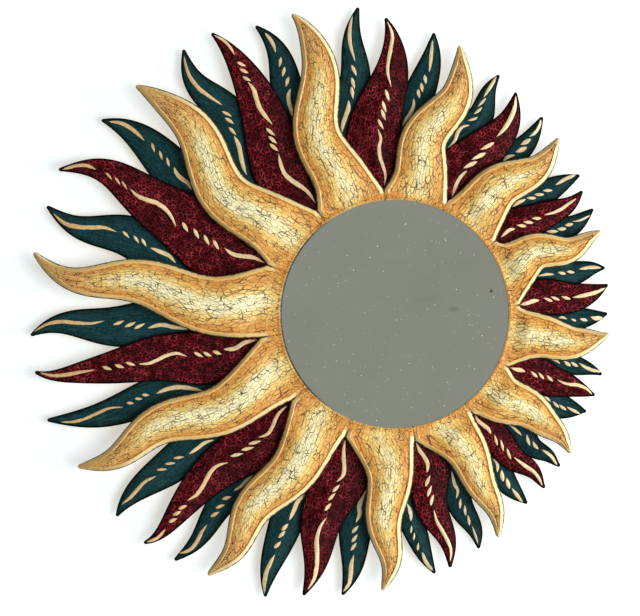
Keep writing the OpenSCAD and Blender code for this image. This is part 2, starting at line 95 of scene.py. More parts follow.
# Tip angle, tip beyond the circle, angle of the glued end, width, fullness, sway
GREEN = [
    (82.9, 8.5, 103, 41, 3.4, (14.5, 15, 5.5, 7, 0)),
    (103, -6, 117.5, 44, 3.7, (8, 5, 0, -7, -2)),
    (118.6, -2, 137, 50, 3.6, (16, 12, -2.5, 7, 0)),
    (140, -5, 148.5, 56, 3.8, (7, 7, 2, -4.5, -3)),
    (160.7, 0.5, 167, 63, 2.7, (10.5, 13.5, 0.5, 8, 0)),
    (186.2, 2, 184, 57, 3.2, (8, -5.5, -2.5, -5, -5)),
    (203.3, 8.5, 202.5, 48.5, 3, (8.5, 2, 4, 8, 0)),
    (226.1, 5.5, 214.5, 49.5, 3.9, (0.5, -7.5, -6.5, -5, -4)),
    (240.5, 6.5, 228.5, 37, 3.5, (1, 4.5, -3.5, 2.5, 0)),
    (259.2, 9.5, 243, 43, 3.7, (-3.5, -10, -9, -6, -2)),
    (274.4, 3, 260.5, 43, 3.3, (4.5, 1.5, 0, 4, 0)),
    (292.8, 3.5, 273.5, 32, 4, (-3, -11, -10, -6.5, 0)),
    (302.9, 2, 290, 32.5, 3.9, (-1, -1, -3.5, 1.5, 0)),
    (315.8, -3, 304.5, 32, 4.1, (-0.5, -1, -4, -4, 0)),
    (325.7, -1, 316, 28, 3.6, (-1, 4, -2, 2.5, -3)),
    (337.7, -4, 330.5, 40, 3.4, (-2, -1.5, -4.5, -4, 0)),
    (345.8, -0.5, 344, 33, 2.6, (-2.5, 2, 1.5, 1.5, 0)),
    (357.8, -4, 359, 34, 3, (-1, -4.5, -4.5, -3, 0)),
    (7.1, -4.5, 14.5, 34, 3.2, (1.5, 2, -0.5, 1, 0)),
    (18.9, -2.5, 28, 35, 3, (2.5, 1, -4, -4.5, 0)),
    (26.3, -2, 42, 35, 3.5, (3.5, 3.5, 2.5, 2, 0)),
    (39.9, -1, 54.5, 34.5, 3.2, (1, 3.5, -1.5, -4, 0)),
    (52, -1, 72.5, 41, 2.8, (7, 6, -5, -1, 0)),
    (67.2, 3, 87.5, 39, 4.2, (5.5, 3.5, 0.5, -3, 0)),
]
# Painted marks of each leaf, read off the photo. First its long strokes: width,
# from and to in hundredths of the leaf's length, and how many millimetres the middle line
# lies to the left of the spine at equal steps. Then its runs of dashes: width, length in
# hundredths, climb to the left, and for each dash its middle, along and to the left
MAROON_MARKS = [
    ([(4, 61, 99, -4, 4, 5, 2.5, -1, 0), (4, 2, 36, -2, -6.5, -6.5, -5.5, -6, -8, -4)],
     [(3.5, 5.5, 8.5, 56, -3, 49.5, -4, 45, -6, 39, -6)]),
    ([(3, 86, 99.5, -2, -3.5, -3, 0), (5, 48, 71.5, -6.5, -2, 1, 0.5, -1, 1),
      (5, 2.5, 34, -5.5, -9.5, -9, -5.5, -2, -2.5, -4)],
     [(3.5, 4, 6, 80.5, -2.5, 77, -1, 73, 0.5), (4, 4.5, 7, 45, -2, 41, -2, 37.5, -1)]),
    ([(4.5, 86, 99.5, 1, -2, -1.5, 0.5), (5, 43, 68.5, 8, 1.5, -2, -2, 1, 3.5, 2.5),
      (5, 1, 20.5, -2, -7, -6.5, -5, -6.5)],
     [(2.5, 4, -4, 79.5, 3.5, 75, 3.5, 71.5, 3),
      (4, 4.5, -5, 39.5, 2.5, 34, 0.5, 29, -1.5, 24.5, -4)]),
    ([(4, 74.5, 99, -0.5, -0.5, 0, 0, -1.5), (4, 33.5, 55, -1.5, -4.5, -2.5, 1.5, 4, 2.5),
      (5, 1.5, 16.5, 0, -5, -4.5, -8)],
     [(3.5, 4, -5.5, 69, 0, 63.5, 0.5, 58.5, 0.5), (3.5, 4, -5, 28.5, -4, 24.5, -4.5, 20, -5.5)]),
    ([(4, 88.5, 99.5, 0.5, 1.5, 0), (4.5, 43.5, 71, 1.5, -2.5, -2.5, 0.5, 3.5, 4, 0.5),
      (4, 3, 24.5, -1.5, -5, -5, -2, -0.5, -4)],
     [(4, 4, -5, 83, 1, 79, 0, 75, 1), (3.5, 6, -5, 38, -0.5, 32, 0, 27.5, -1.5)]),
    ([(5, 51, 97, 5, 0, -1.5, 0, 2, 3.5, 1.5), (4.5, 2, 29, -0.5, -3, -3, -1, 0.5, -3)],
     [(3.5, 6, -3, 44.5, 2, 38, 0.5, 32.5, 0)]),
    ([(4, 55.5, 97, 1.5, -1, -1, 0, 1.5, 0), (4.5, 1.5, 27, 0, -2.5, -1.5, -1, -3)],
     [(3.5, 8.5, -5, 47.5, 2, 40.5, 0, 33, -2)]),
    ([(4, 59, 99, 1.5, 0.5, -0.5, 0, 0.5, -0.5), (4.5, 3, 27, 1, -0.5, 0, 0.5, -1.5)],
     [(3, 10.5, -5, 53, 0, 42.5, 0, 35, -2)]),
    ([(3.5, 57, 99.5, 3, 1.5, 1.5, 3.5, 4, 3, -0.5), (4.5, 2, 20, -1, -3, -3.5, -4)],
     [(3, 9, -4, 48, 2, 38, 0.5), (3.5, 10, -2, 30.5, -2)]),
    ([(4.5, 60, 98.5, 0, 0, -0.5, -1.5, -2), (4.5, 1.5, 24, -0.5, -3, -3.5, -4)],
     [(3, 10, -3.5, 53, 0, 41.5, -1, 34, -3)]),
    ([(3.5, 55.5, 93, 0.5, -1, -0.5, 1, 0), (4, 6, 24, -2.5, -2.5, -2, -3.5)],
     [(3.5, 9, -4.5, 47.5, 0.5, 38.5, -0.5, 31, -2)]),
    ([(5, 63.5, 99, 1, 0, -0.5, -1.5, -0.5), (4, 3.5, 29.5, -4.5, -5.5, -5.5, -5.5, -6)],
     [(4.5, 11.5, -4, 53.5, 0.5, 43.5, -2, 34.5, -3.5)]),
]
GREEN_MARKS = [
    ([(4, 70, 96, -0.5, 1.5, 3, 3.5, 3.5), (5, 29.5, 47.5, 5, 4, 2, 1, 3)],
     [(4, 6.5, 5, 65, 1.5, 57.5, 2, 52, 1)]),
    ([(4, 83.5, 95.5, 2, -0.5, -1), (4.5, 48, 62.5, 2, 1, 1, 0, -4)],
     [(3.5, 5, -5, 77.5, 1, 72, 0, 66.5, -2)]),
    ([(4.5, 67.5, 98, -2, -0.5, 1, 1.5, 1.5, 1), (5, 32.5, 51.5, 0, 0.5, 0.5, 1, 4)],
     [(3.5, 5, 5, 63, 0.5, 59.5, 2.5, 54, 4)]),
    ([(4.5, 79, 97.5, -0.5, -2, -3, -3, -0.5), (5, 48, 61, 2, -1, 0, 0, -3)],
     [(3, 4, -5, 74, -1.5, 69, -1.5, 64.5, -2)]),
    ([(5, 68, 97, -1.5, -4.5, -2.5, 0.5, 3, 1.5), (4.5, 39.5, 52, -3, -5.5, -3, 0)],
     [(3, 3.5, -5, 64, -1, 59, 0, 55.5, -1)]),
    ([(4, 68.5, 99, -6, -1.5, -0.5, -2, -3, -1.5), (4.5, 31.5, 49.5, 3.5, 4.5, 3, 5.5)],
     [(3.5, 5, 4, 62, -4, 57, -1, 53, 2)]),
    ([(3.5, 67, 95, -1, -4.5, -3, 0.5, 3, 2.5), (5, 31, 51.5, 4.5, 0.5, -2.5, -3, -1.5)],
     [(3, 3, -3.5, 63.5, -2, 59.5, -3, 56, -4)]),
    ([(4, 74, 95.5, 0, -2, -0.5, 0.5, -2), (4, 41, 55, 6, 3, 3, 2)],
     [(3, 4.5, -6, 70, -2.5, 65, -2.5, 60, -2)]),
    ([(4.5, 76, 97, -1, -1.5, 0.5, 1, -3), (3.5, 41.5, 54, -3, -2.5, -0.5, -1)],
     [(3.5, 4.5, -5.5, 69.5, 1, 64.5, 1, 59, 0)]),
    ([(5, 76.5, 99.5, 0.5, -1.5, -2.5, -1), (5, 37.5, 55.5, 7.5, 3.5, 3.5, 2.5)],
     [(4, 5, -4.5, 71, -0.5, 64.5, 0, 60, 0.5)]),
    ([(5, 73.5, 99.5, 0, -1.5, 0, 1.5, -1), (5, 29.5, 52, -1, -3, -2.5, 0.5, -1)],
     [(3.5, 5.5, -6, 68, -0.5, 62.5, 0, 56.5, -0.5)]),
    ([(5, 82.5, 99, -1.5, -2, -0.5), (4.5, 42.5, 57, 1, 2.5, 2, -0.5)],
     [(2.5, 5.5, -4, 77.5, -3.5, 69, -3.5, 63, -3.5)]),
    ([(2.5, 80.5, 97.5, -1, -1.5, -0.5), (3.5, 29, 53.5, 0.5, -0.5, -0.5, 1.5, -2)],
     [(3, 8.5, -5, 75, -0.5, 66, 2, 58.5, 0.5)]),
    ([(4, 79, 98, 0.5, -1, -2.5), (3.5, 42, 57.5, -0.5, 1, -3)],
     [(4.5, 11.5, -5, 73, 0.5, 63, 0)]),
    ([(3.5, 75, 99.5, 2.5, 1.5, -1), (3, 26.5, 48, -4, -5, -5, -3.5)],
     [(3.5, 12, -3, 65.5, 3, 55.5, 0.5)]),
    ([(3.5, 77.5, 95.5, 1, -1.5, -4), (3, 43.5, 56, -2, -0.5, -1)],
     [(3, 10.5, -3, 72.5, -1, 63.5, -1)]),
    ([(4, 71, 100, 3.5, 0.5, 0, 2.5), (3, 26.5, 48.5, 1.5, 0, -2, -4.5)],
     [(3.5, 10.5, -2.5, 65.5, 0.5, 57, -1.5)]),
    ([(5, 80, 95.5, 0.5, -2.5, -3), (2.5, 37.5, 49.5, 1.5, 2.5, 0.5)],
     [(3.5, 10, -3, 71, -2), (2.5, 6.5, -3, 58, -1)]),
    ([(4, 70, 97.5, 3, 1.5, 0), (3, 17, 38, 1, 0.5, -1)],
     [(3.5, 10, -2, 58.5, 1.5, 47.5, 0.5)]),
    ([(2.5, 74.5, 95.5, 4, -0.5, -3), (3.5, 42.5, 55.5, 2, 0.5, -0.5)],
     [(4, 10, -2.5, 69.5, 2.5, 60, 1)]),
    ([(4, 75, 99, 1.5, 2.5, 2.5), (4, 25, 41, 2.5, 3.5, 3)],
     [(3.5, 9, -5, 65, 0.5, 55.5, 1, 46.5, 1.5)]),
    ([(4, 80.5, 99, 2, -1, -1.5, 0), (3.5, 45.5, 59.5, 0, 2, -1)],
     [(5, 10.5, -4.5, 74.5, 1.5, 66.5, -1)]),
    ([(4, 80.5, 99.5, 3, 1, 0.5, 1.5), (3.5, 30.5, 54.5, 0, -1.5, 0, 5, 6.5, 3.5)],
     [(3, 8, -6, 76.5, 3.5, 69, 5, 60, 5.5)]),
    ([(4, 75, 96.5, -2, 0, 1, 1), (4, 35, 55, 7, 5.5, 3, 2, 4.5)],
     [(4, 5.5, 5, 69.5, -0.5, 63.5, 0, 59, 1)]),
]


def on_circle(centre, r, degrees):
    a = np.radians(degrees)
    return np.array([centre[0] + r * np.cos(a), centre[1] + r * np.sin(a)]).T


def ease(t):
    t = np.clip(t, 0, 1)
    return t * t * (3 - 2 * t)


def mixed(a, b, t):
    return a + (b - a) * t


class Spine:
    """A ray's middle line, with the sway that the CAD source gives it."""

    def __init__(self, root, tip, sway):
        k = np.arange(1, 5)
        *sway, hook = sway
        self.hook = hook * 7 * (7 / 6) ** 6
        self.root, self.tip = np.array(root), np.array(tip)
        self.along = self.tip - self.root
        self.length = float(np.hypot(*self.along))
        self.heading = math.atan2(self.along[1], self.along[0])
        self.q = [0.4 * np.sum(np.array(sway) * np.sin(np.radians(36 * k * n))) for n in k]

    def point(self, t):
        t = np.asarray(t, float)
        side = np.array([-self.along[1], self.along[0]]) / self.length
        off = sum(q * np.sin(np.pi * (n + 1) * t) for n, q in enumerate(self.q))
        off = off + self.hook * np.maximum(0, t) ** 6 * (1 - t)
        return self.root + self.along * t[..., None] + side * off[..., None]

    def left(self, t):
        """Direction, in radians, that points left when looking from root to tip."""
        t = np.asarray(t, float)
        slope = sum(q * np.pi * (n + 1) * np.cos(np.pi * (n + 1) * t) for n, q in enumerate(self.q))
        slope = slope + self.hook * np.maximum(0, t) ** 5 * (6 - 7 * t)
        return self.heading + np.arctan2(slope, self.length) + np.pi / 2


def tip_point(ray, more=0.0):
    return on_circle((0, 0), TIP_R + ray[1] + more, ray[0])


def valley(n):
    a, d = VALLEYS[n % 12]
    return on_circle(GLASS_C, OPENING_R + d, a)


def stations(start, length, tip_w):
    """Shares of the length for the cross sections, with the blunt tip's rounding,
    and how wide each section is inside that rounding."""
    n = max(8, int(round(length * (1 - start) / ROW_PITCH)))
    t = np.linspace(start, 1, n)
    turn = np.radians([25, 48, 68, 84])
    t = np.concatenate([t, 1 + tip_w / 2 * np.sin(turn) / length])
    round_off = np.concatenate([np.ones(n), np.cos(turn)])
    return t, round_off


def bumpy(points, seed, size, height):
    """Small unevenness of hand carving, in millimetres."""
    flat = points.reshape(-1, 2)
    out = [noise.noise(Vector((p[0] / size, p[1] / size, seed))) for p in flat]
    return height * np.array(out).reshape(points.shape[:-1])


# Meshes

def build(name, verts, faces, materials, indices=None, sharp=32, attributes=None):
    """Mesh object from points in millimetres."""
    mesh = bpy.data.meshes.new(name)
    mesh.from_pydata([tuple(v) for v in np.asarray(verts, float) * MM], [], faces)
    for m in materials:
        mesh.materials.append(m)
    if indices is not None:
        mesh.polygons.foreach_set("material_index", np.array(indices, np.int32))
    for key, values in (attributes or {}).items():
        values = np.asarray(values, np.float32)
        kind, field = ("FLOAT", "value") if values.ndim == 1 else ("FLOAT_VECTOR", "vector")
        made = mesh.attributes.new(key, kind, "POINT")
        made.data.foreach_set(field, values.ravel())
    mesh.polygons.foreach_set("use_smooth", np.ones(len(mesh.polygons), bool))
    mesh.set_sharp_from_angle(angle=math.radians(sharp))
    mesh.validate()
    mesh.update()
    obj = bpy.data.objects.new(name, mesh)
    bpy.context.scene.collection.objects.link(obj)
    return obj


def joined(name, parts, materials, sharp):
    """One object from several closed meshes."""
    verts, faces, at = [], [], 0
    for v, f in parts:
        verts.append(v)
        faces += [tuple(i + at for i in face) for face in f]
        at += len(v)
    return build(name, np.concatenate(verts), faces, materials, sharp=sharp)


def slab(name, front, back, full_rows, materials, attributes):
    """Closed solid between a front grid and a back grid of points. Behind the first
    full_rows rows the back keeps only its two edges. Material 0 is the front, 1 the
    sides and 2 the back."""
    rows, cols = front.shape[:2]
    verts = [tuple(p) for p in front.reshape(-1, 3)]
    faces, kinds = [], []
    index = np.arange(rows * cols).reshape(rows, cols)
    for j in range(rows - 1):
        for k in range(cols - 1):
            faces.append((index[j, k], index[j, k + 1], index[j + 1, k + 1], index[j + 1, k]))
            kinds.append(0)
    under = []
    for j in range(rows):
        keep = range(cols) if j < full_rows else (0, cols - 1)
        line = {}
        for k in keep:
            line[k] = len(verts)
            verts.append(tuple(back[j, k]))
        under.append(line)
    for j in range(rows - 1):
        a, b = under[j], under[j + 1]
        if j + 1 < full_rows:
            for k in range(cols - 1):
                faces.append((a[k], b[k], b[k + 1], a[k + 1]))
                kinds.append(2)
        else:
            faces.append(tuple(b[k] for k in sorted(b)) + tuple(a[k] for k in sorted(a, reverse=True)))
            kinds.append(2)
        for k, flip in ((0, False), (cols - 1, True)):
            side = (index[j, k], index[j + 1, k], b[k], a[k])
            faces.append(side[::-1] if flip else side)
            kinds.append(1)
    last, first = under[-1], under[0]
    faces.append(tuple(index[-1]) + (last[cols - 1], last[0]))
    kinds.append(1)
    if full_rows:
        for k in range(cols - 1):
            faces.append((index[0, k], first[k], first[k + 1], index[0, k + 1]))
            kinds.append(1)
    else:
        faces.append((first[0], first[cols - 1]) + tuple(index[0])[::-1])
        kinds.append(1)
    whole = {}
    for key, values in attributes.items():
        flat = values.reshape(rows * cols, -1)
        extra = np.array([flat[index[j, k]] for j in range(rows) for k in sorted(under[j])])
        both = np.concatenate([flat, extra])
        whole[key] = both[:, 0] if both.shape[1] == 1 else both
    return build(name, verts, [tuple(int(i) for i in f) for f in faces], materials, kinds,
                 attributes=whole)


def gold_section(width, up, full, thin):
    """Distances from the edge to the middle, heights, and how far each point lies in
    the smooth rim and in the groove beside it."""
    rim = np.minimum(GOLD_RIM_W, 0.33 * width)
    panel = np.minimum(GOLD_RIM_W + GOLD_STEP_W, 0.42 * width)
    edge_h, rim_h = GOLD_EDGE_H * thin, mixed(LIP_H, GOLD_RIM_H, up) * thin
    panel_h = mixed(LIP_H - LIP_HOLLOW, GOLD_PANEL_H, up) * thin
    crown_h = panel_h + (GOLD_CROWN_H - GOLD_PANEL_H) * up * full * thin
    out = []
    for s, r in ((0, 1), (.05, 1), (.16, 1), (.32, 1), (.5, 1), (.7, 1), (.87, .9), (1, .7)):
        out.append((rim * s, edge_h + (rim_h - edge_h) * (1 - (1 - s) ** 1.3), r, 0.0))
    for s, r, g in ((.25, .45, .3), (.6, .15, .8), (1, 0, 1)):
        out.append((mixed(rim, panel, s), mixed(rim_h, panel_h, ease(s)), r, g))
    for s, g in ((.1, .6), (.22, .3), (.36, .1), (.52, 0), (.68, 0), (.84, 0), (1, 0)):
        out.append((mixed(panel, width / 2, s),
                    panel_h + (crown_h - panel_h) * (1 - (1 - s) ** 1.84), 0.0, g))
    return out


def mirrored_places(section, width):
    """The section's places from -1 to 1, and its other values from edge to edge."""
    e, h, r, g = np.array(section, float).T
    place = -1 + 2 * e / width
    halves = ((place, -place), (h, h), (r, r), (g, g))
    return [np.concatenate([near, far[-2::-1]]) for near, far in halves]


# Lip of the opening: how far outside the opening's edge, and height
LIP_PROFILE = ((0, 11.6), (.5, 12.2), (1.3, LIP_H), (2.4, LIP_H), (LIP_W - .7, 11.8),
               (LIP_W, LIP_H - LIP_HOLLOW))
# Length and width of a cell of the gold crackle, at a ray's root and at its tip
CELL_ROOT, CELL_TIP, CELL_RING_L = (8.8, 3.8), (5.2, 2.3), 4.8


def gold_ray(n, materials):
    """One gold ray with its stretch of the ring round the opening."""
    tip_deg, _, ray_w, fullness, sway = GOLD[n]
    joint = math.degrees(JOINT_GAP / 2 / OPENING_R)
    a0 = VALLEYS[n][0] + joint
    a1 = VALLEYS[(n + 1) % 12][0] + (360 if n == 11 else 0) - joint
    right = on_circle(GLASS_C, OPENING_R + VALLEYS[n][1], a0)
    left = on_circle(GLASS_C, OPENING_R + VALLEYS[(n + 1) % 12][1], a1)
    root, root_w = (left + right) / 2, float(np.hypot(*(left - right)))
    root_dir = math.atan2(*(left - right)[::-1])
    spine = Spine(root, tip_point(GOLD[n], -TIP_WEAR[n]), sway)
    ts, round_off = stations(0, spine.length, GOLD_TIP_W)
    on_left = 100 < tip_deg < 255
    plain_tip_and_painted_light = 125 < tip_deg < 220
    rows = []
    cv, last = 0.0, 0.0
    for t, ro in zip(ts, round_off):
        taper = 1 - max(0.0, t) ** fullness
        body = mixed(GOLD_TIP_W, ray_w, taper) if t <= 1 else GOLD_TIP_W
        width = (body + (root_w - ray_w) * math.exp(-5 * t) * max(0.0, 1 - t)) * ro
        d = float(spine.left(t))
        turn = (root_dir - d + 3 * math.pi) % (2 * math.pi) - math.pi
        d += turn * max(0.0, 1 - t) ** 6
        thin = mixed(1, TIP_SHARE, min(t, 1) ** 4) * mixed(0.8, 1, ro)
        places, h, r, g = mirrored_places(
            gold_section(width, ease(t / RELIEF_RISE), min(1.0, width / ray_w), thin), width)
        # The tip is plain paint without a rim, over a longer stretch on the rays that point left
        plain = ease((t - .84) / .14) if plain_tip_and_painted_light else ease((t - .95) / .06)
        h = mixed(h, h[0] + (h.max() - h[0]) * (1 - np.abs(places) ** 2.4), plain)
        mid = spine.point(t)
        xz = mid + np.outer(places * width / 2, [math.cos(d), math.sin(d)])
        cell_l = mixed(CELL_ROOT[0], CELL_TIP[0], min(t, 1))
        cell_w = mixed(CELL_ROOT[1], CELL_TIP[1], min(t * 1.2, 1))
        cv += (t - last) * spine.length / cell_l
        last = t
        crackle = np.stack([places * width / 2 / cell_w + n * 31.7, np.full(len(places), cv),
                            np.full(len(places), n * 7.3)], 1)
        pale = np.exp(-(places / mixed(.46, .52, t)) ** 2) * mixed(1, .1, ease((t - .5) / .4))
        pale *= mixed(.85, 1, ease(t / .1)) * (1.0 if on_left else .84)
        far = np.full(len(places), ease((t - .62) / .38))
        rows.append((xz, h, np.maximum(r, plain * .8), g * (1 - plain), crackle, pale, far))
    places0 = mirrored_places(gold_section(root_w, 0.0, 1.0, 1.0), root_w)[0]
    half, mid_a = (a1 - a0) / 2, (a0 + a1) / 2
    ring_rows = [(on_circle(GLASS_C, OPENING_R + out, mid_a + half * places0),
                  np.full(len(places0), height)) for out, height in LIP_PROFILE]
    xz0, h0, r0, g0, c0, p0, far0 = rows[0]
    outer_xz, outer_h = ring_rows[-1]
    for s in (.22, .45, .5, .6, .72, .86):
        ring_rows.append((mixed(outer_xz, xz0, s), mixed(outer_h, h0, s)))
    shares = [-.6, -.5, -.35, -.25, -.12, 0, .22, .45, .5, .6, .72, .86]
    made = []
    for (xz, h), s in zip(ring_rows, shares):
        crackle = c0.copy()
        far = np.hypot(*(xz - xz0).T)
        crackle[:, 1] = -far / CELL_RING_L
        crackle[:, 0] = places0 * root_w / 2 / CELL_ROOT[1] + n * 31.7
        lip = 1.0 if s < -.45 else 0.0
        rim = np.full(len(places0), lip) if s < 0 else r0 * float(ease((s - .35) / .5))
        made.append((xz, h, rim, g0 * max(s, 0), crackle, p0 * mixed(.55, 1, max(s, 0)), far0))
    rows = made + rows
    front_xz, heights, rims, grooves, crackles, pales, tips = map(np.array, zip(*rows))
    inner = np.ones(heights.shape[1])
    inner[:8] = inner[-8:] = 0
    carved = bumpy(front_xz, n * 3.7, 9.0, 0.35) * (1 - rims) * inner
    carved[:6] = 0
    front = np.stack([front_xz[..., 0], -(heights + carved), front_xz[..., 1]], 2)
    back = front.copy()
    back[..., 1] = 0
    # The rebate behind the lip: the back stands at the rebate's depth up to its radius
    rebate_row = 0
    for j in range(len(made)):
        r = np.hypot(*(front_xz[j] - GLASS_C).T)
        if r.max() < REBATE_R:
            back[j, :, 1] = REBATE_Y
            rebate_row = j
    edge_xz = on_circle(GLASS_C, REBATE_R, mid_a + half * places0)
    for j in (rebate_row, rebate_row + 1):
        back[j, :, 0], back[j, :, 2] = edge_xz[:, 0], edge_xz[:, 1]
    # Distance of each point from the ray's edge, for the dark outlines
    seam = np.full(heights.shape, 9.0)
    seam[:len(made)] = (1 - np.abs(places0)) * root_w / 2
    for k, far in enumerate((0, .25, .75, 1.5, 2.4)):
        seam[len(made):, [k, -1 - k]] = far
    to_end = np.maximum(0, (1 - ts) * spine.length + GOLD_TIP_W / 2)
    seam[len(made):] = np.minimum(seam[len(made):], to_end[:, None])
    return slab(f"gold_sun_ray_{n + 1:02d}", front, back, len(made) + 1, materials, {
        "rim": rims, "groove": grooves, "crackle": crackles, "pale": pales, "tip": tips,
        "edge": seam})


class Leaf:
    """A maroon or green leaf, whose front can be asked for at any place."""

    def __init__(self, root, tip, width, fullness, sway, start, full_at, land, back):
        self.spine = Spine(root, tip, sway)
        self.width, self.fullness = width, fullness
        self.start, self.full_at, self.land, self.back = start, full_at, land, back

    def wide(self, t):
        body = mixed(LEAF_ROOT_W, self.width, ease(t / self.full_at))
        taper = 1 - np.clip(t, 0, 1) ** self.fullness
        return mixed(LEAF_TIP_W, body, taper)

    def height(self, t, place):
        """Height of the front above the back plane at a place from -1 to 1."""
        carve = ease((t - self.land) / 0.12)
        thin = mixed(1, TIP_SHARE, np.clip(t, 0, 1) ** 4)
        edge = mixed(LEAF_T, LEAF_EDGE_T, carve)
        s = 1 - np.minimum(1, np.abs(place))
        return (edge + (LEAF_T - edge) * (0.35 * s + 0.65 * s ** 1.5)) * thin

    def at(self, along, side):
        """Point of the front, given millimetres along the spine and to its left."""
        t = np.asarray(along, float) / self.spine.length
        side = np.asarray(side, float)
        d = self.spine.left(np.maximum(t, 0))
        xz = self.spine.point(t) + side[..., None] * np.stack([np.cos(d), np.sin(d)], -1)
        y = self.back - self.height(t, 2 * side / self.wide(t))
        return np.stack([xz[..., 0], y, xz[..., 1]], -1)


LEAF_EDGES = ((0, -.9), (.25, -.3), (.8, 0))
LEAF_SHARES = (.1, .25, .42, .6, .76, .88, .96, 1)


def leaf_mesh(name, leaf, cell, seed, materials):
    ts, round_off = stations(leaf.start, leaf.spine.length, LEAF_TIP_W)
    grid, attributes = [], []
    for t, ro in zip(ts, round_off):
        width = float(leaf.wide(t)) * ro
        half = width / 2
        thin = float(mixed(1, TIP_SHARE, np.clip(t, 0, 1) ** 4)) * mixed(.7, 1, ro)
        first = min(.8, half * .5)
        e = [x * first / .8 for x, _ in LEAF_EDGES] + [mixed(first, half, s) for s in LEAF_SHARES]
        drop = [d * first / .8 for _, d in LEAF_EDGES] + [0] * len(LEAF_SHARES)
        e, drop = np.array(e), np.array(drop)
        place = np.concatenate([-1 + e / half, (1 - e / half)[-2::-1]])
        drop = np.concatenate([drop, drop[-2::-1]])
        edge = np.concatenate([e, e[-2::-1]])
        h = leaf.height(t, place) * mixed(.8, 1, ro) + drop * thin
        d = float(leaf.spine.left(max(t, 0)))
        xz = leaf.spine.point(t) + np.outer(place * half, [math.cos(d), math.sin(d)])
        grid.append(np.column_stack([xz[:, 0], leaf.back - h, xz[:, 1]]))
        tip_far = (1 - t) * leaf.spine.length + 1.2
        crackle = np.column_stack([place * half / cell[0] + seed * 23.7,
                                   np.full(len(place), t * leaf.spine.length / cell[1]),
                                   np.full(len(place), seed * 5.7)])
        attributes.append((np.minimum(edge, max(0.0, tip_far)), crackle))
    front = np.array(grid)
    uneven = bumpy(front[..., [0, 2]], seed * 2.3, 12.0, 0.3)
    uneven[:, :3] = uneven[:, -3:] = 0
    far, crackles = map(np.array, zip(*attributes))
    front[..., 1] += np.abs(uneven) * np.clip(far / 6, 0, 1)
    back = front.copy()
    back[..., 1] = leaf.back
    return slab(name, front, back, 0, materials, {"edge": far, "crackle": crackles})


# Points across a painted mark, and the length under which it is drawn as a dash
STROKE_ROWS, DASH_L = 5, 22.0


def ribbon(leaf, along, side, width, lift):
    """Closed raised line of paint along a path on the leaf's front."""
    path = np.stack([along, side], 1)
    tangent = np.gradient(path, axis=0)
    tangent /= np.maximum(np.hypot(*tangent.T), 1e-9)[:, None]
    normal = np.stack([-tangent[:, 1], tangent[:, 0]], 1)
    places = np.linspace(-1, 1, STROKE_ROWS)
    verts, faces = [], []
    for p in places:
        q = path + normal * (width[:, None] / 2 * p)
        top = leaf.at(q[:, 0], q[:, 1])
        top[:, 1] -= lift * (1 - p * p) * np.minimum(1, width / width.max() * 1.6) - 0.12 * p * p
        verts.append(top)
    for p in (-1, 1):
        q = path + normal * (width[:, None] / 2 * p)
        low = leaf.at(q[:, 0], q[:, 1])
        low[:, 1] += 0.5
        verts.append(low)
    n = len(along)
    loop = list(range(STROKE_ROWS)) + [STROKE_ROWS + 1, STROKE_ROWS]
    for a, b in zip(loop, loop[1:] + loop[:1]):
        for j in range(n - 1):
            faces.append((a * n + j, b * n + j, b * n + j + 1, a * n + j + 1))
    faces.append(tuple(a * n for a in loop[::-1]))
    faces.append(tuple(a * n + n - 1 for a in loop))
    return np.concatenate(verts), faces


def smooth_line(nodes, count):
    """Points of a smooth line through a few nodes, with count points to each stretch."""
    p = np.array(nodes)
    q = np.vstack([2 * p[0] - p[1], p, 2 * p[-1] - p[-2]])
    s = np.linspace(0, 1, count, endpoint=False)[:, None]
    out = []
    for a, b, c, d in zip(q, q[1:], q[2:], q[3:]):
        out.append(b + .5 * (c - a) * s + (a - 2.5 * b + 2 * c - .5 * d) * s ** 2
                   + .5 * (3 * b - a - 3 * c + d) * s ** 3)
    return np.concatenate(out + [p[-1:]])


def mark_nodes(strokes, runs):
    """Width and nodes of every painted mark of a leaf."""
    marks = []
    for wide, start, end, *sides in strokes:
        marks.append((wide, np.column_stack([np.linspace(start, end, len(sides)), sides])))
    for wide, extent, climb, *middles in runs:
        for along, side in zip(middles[::2], middles[1::2]):
            marks.append((wide, [(along + extent * s, side + climb * s) for s in (-.5, 0, .5)]))
    return marks


def marks_mesh(name, leaf, marks, material):
    """The leaf's painted marks. Dashes are pointed at both ends, long strokes are fuller."""
    length = leaf.spine.length
    parts = []
    for wide, nodes in mark_nodes(*marks):
        path = smooth_line(np.array(nodes) * (length / 100, 1), 5)
        far = np.concatenate([[0], np.cumsum(np.hypot(*np.diff(path, axis=0).T))])
        s = far / far[-1]
        if far[-1] < DASH_L:
            width = wide * np.sin(np.pi * s ** 1.2) ** .7
        else:
            width = wide * (1 - np.abs(2 * s ** 1.1 - 1) ** 2.6) ** .75
        room = leaf.wide(path[:, 0] / length)
        width = np.minimum(width + .2, room * .72)
        limit = np.maximum(0, room / 2 - width / 2 - .4)
        side = np.clip(path[:, 1], -limit, limit)
        parts.append(ribbon(leaf, path[:, 0], side, width, .45))
    return joined(name, parts, [material], 50)


# Materials

def rgb(code):
    """Linear colour of a hex code."""
    parts = [int(code[i:i + 2], 16) / 255 for i in (1, 3, 5)]
    return tuple(c / 12.92 if c <= .04045 else ((c + .055) / 1.055) ** 2.4 for c in parts) + (1.0,)


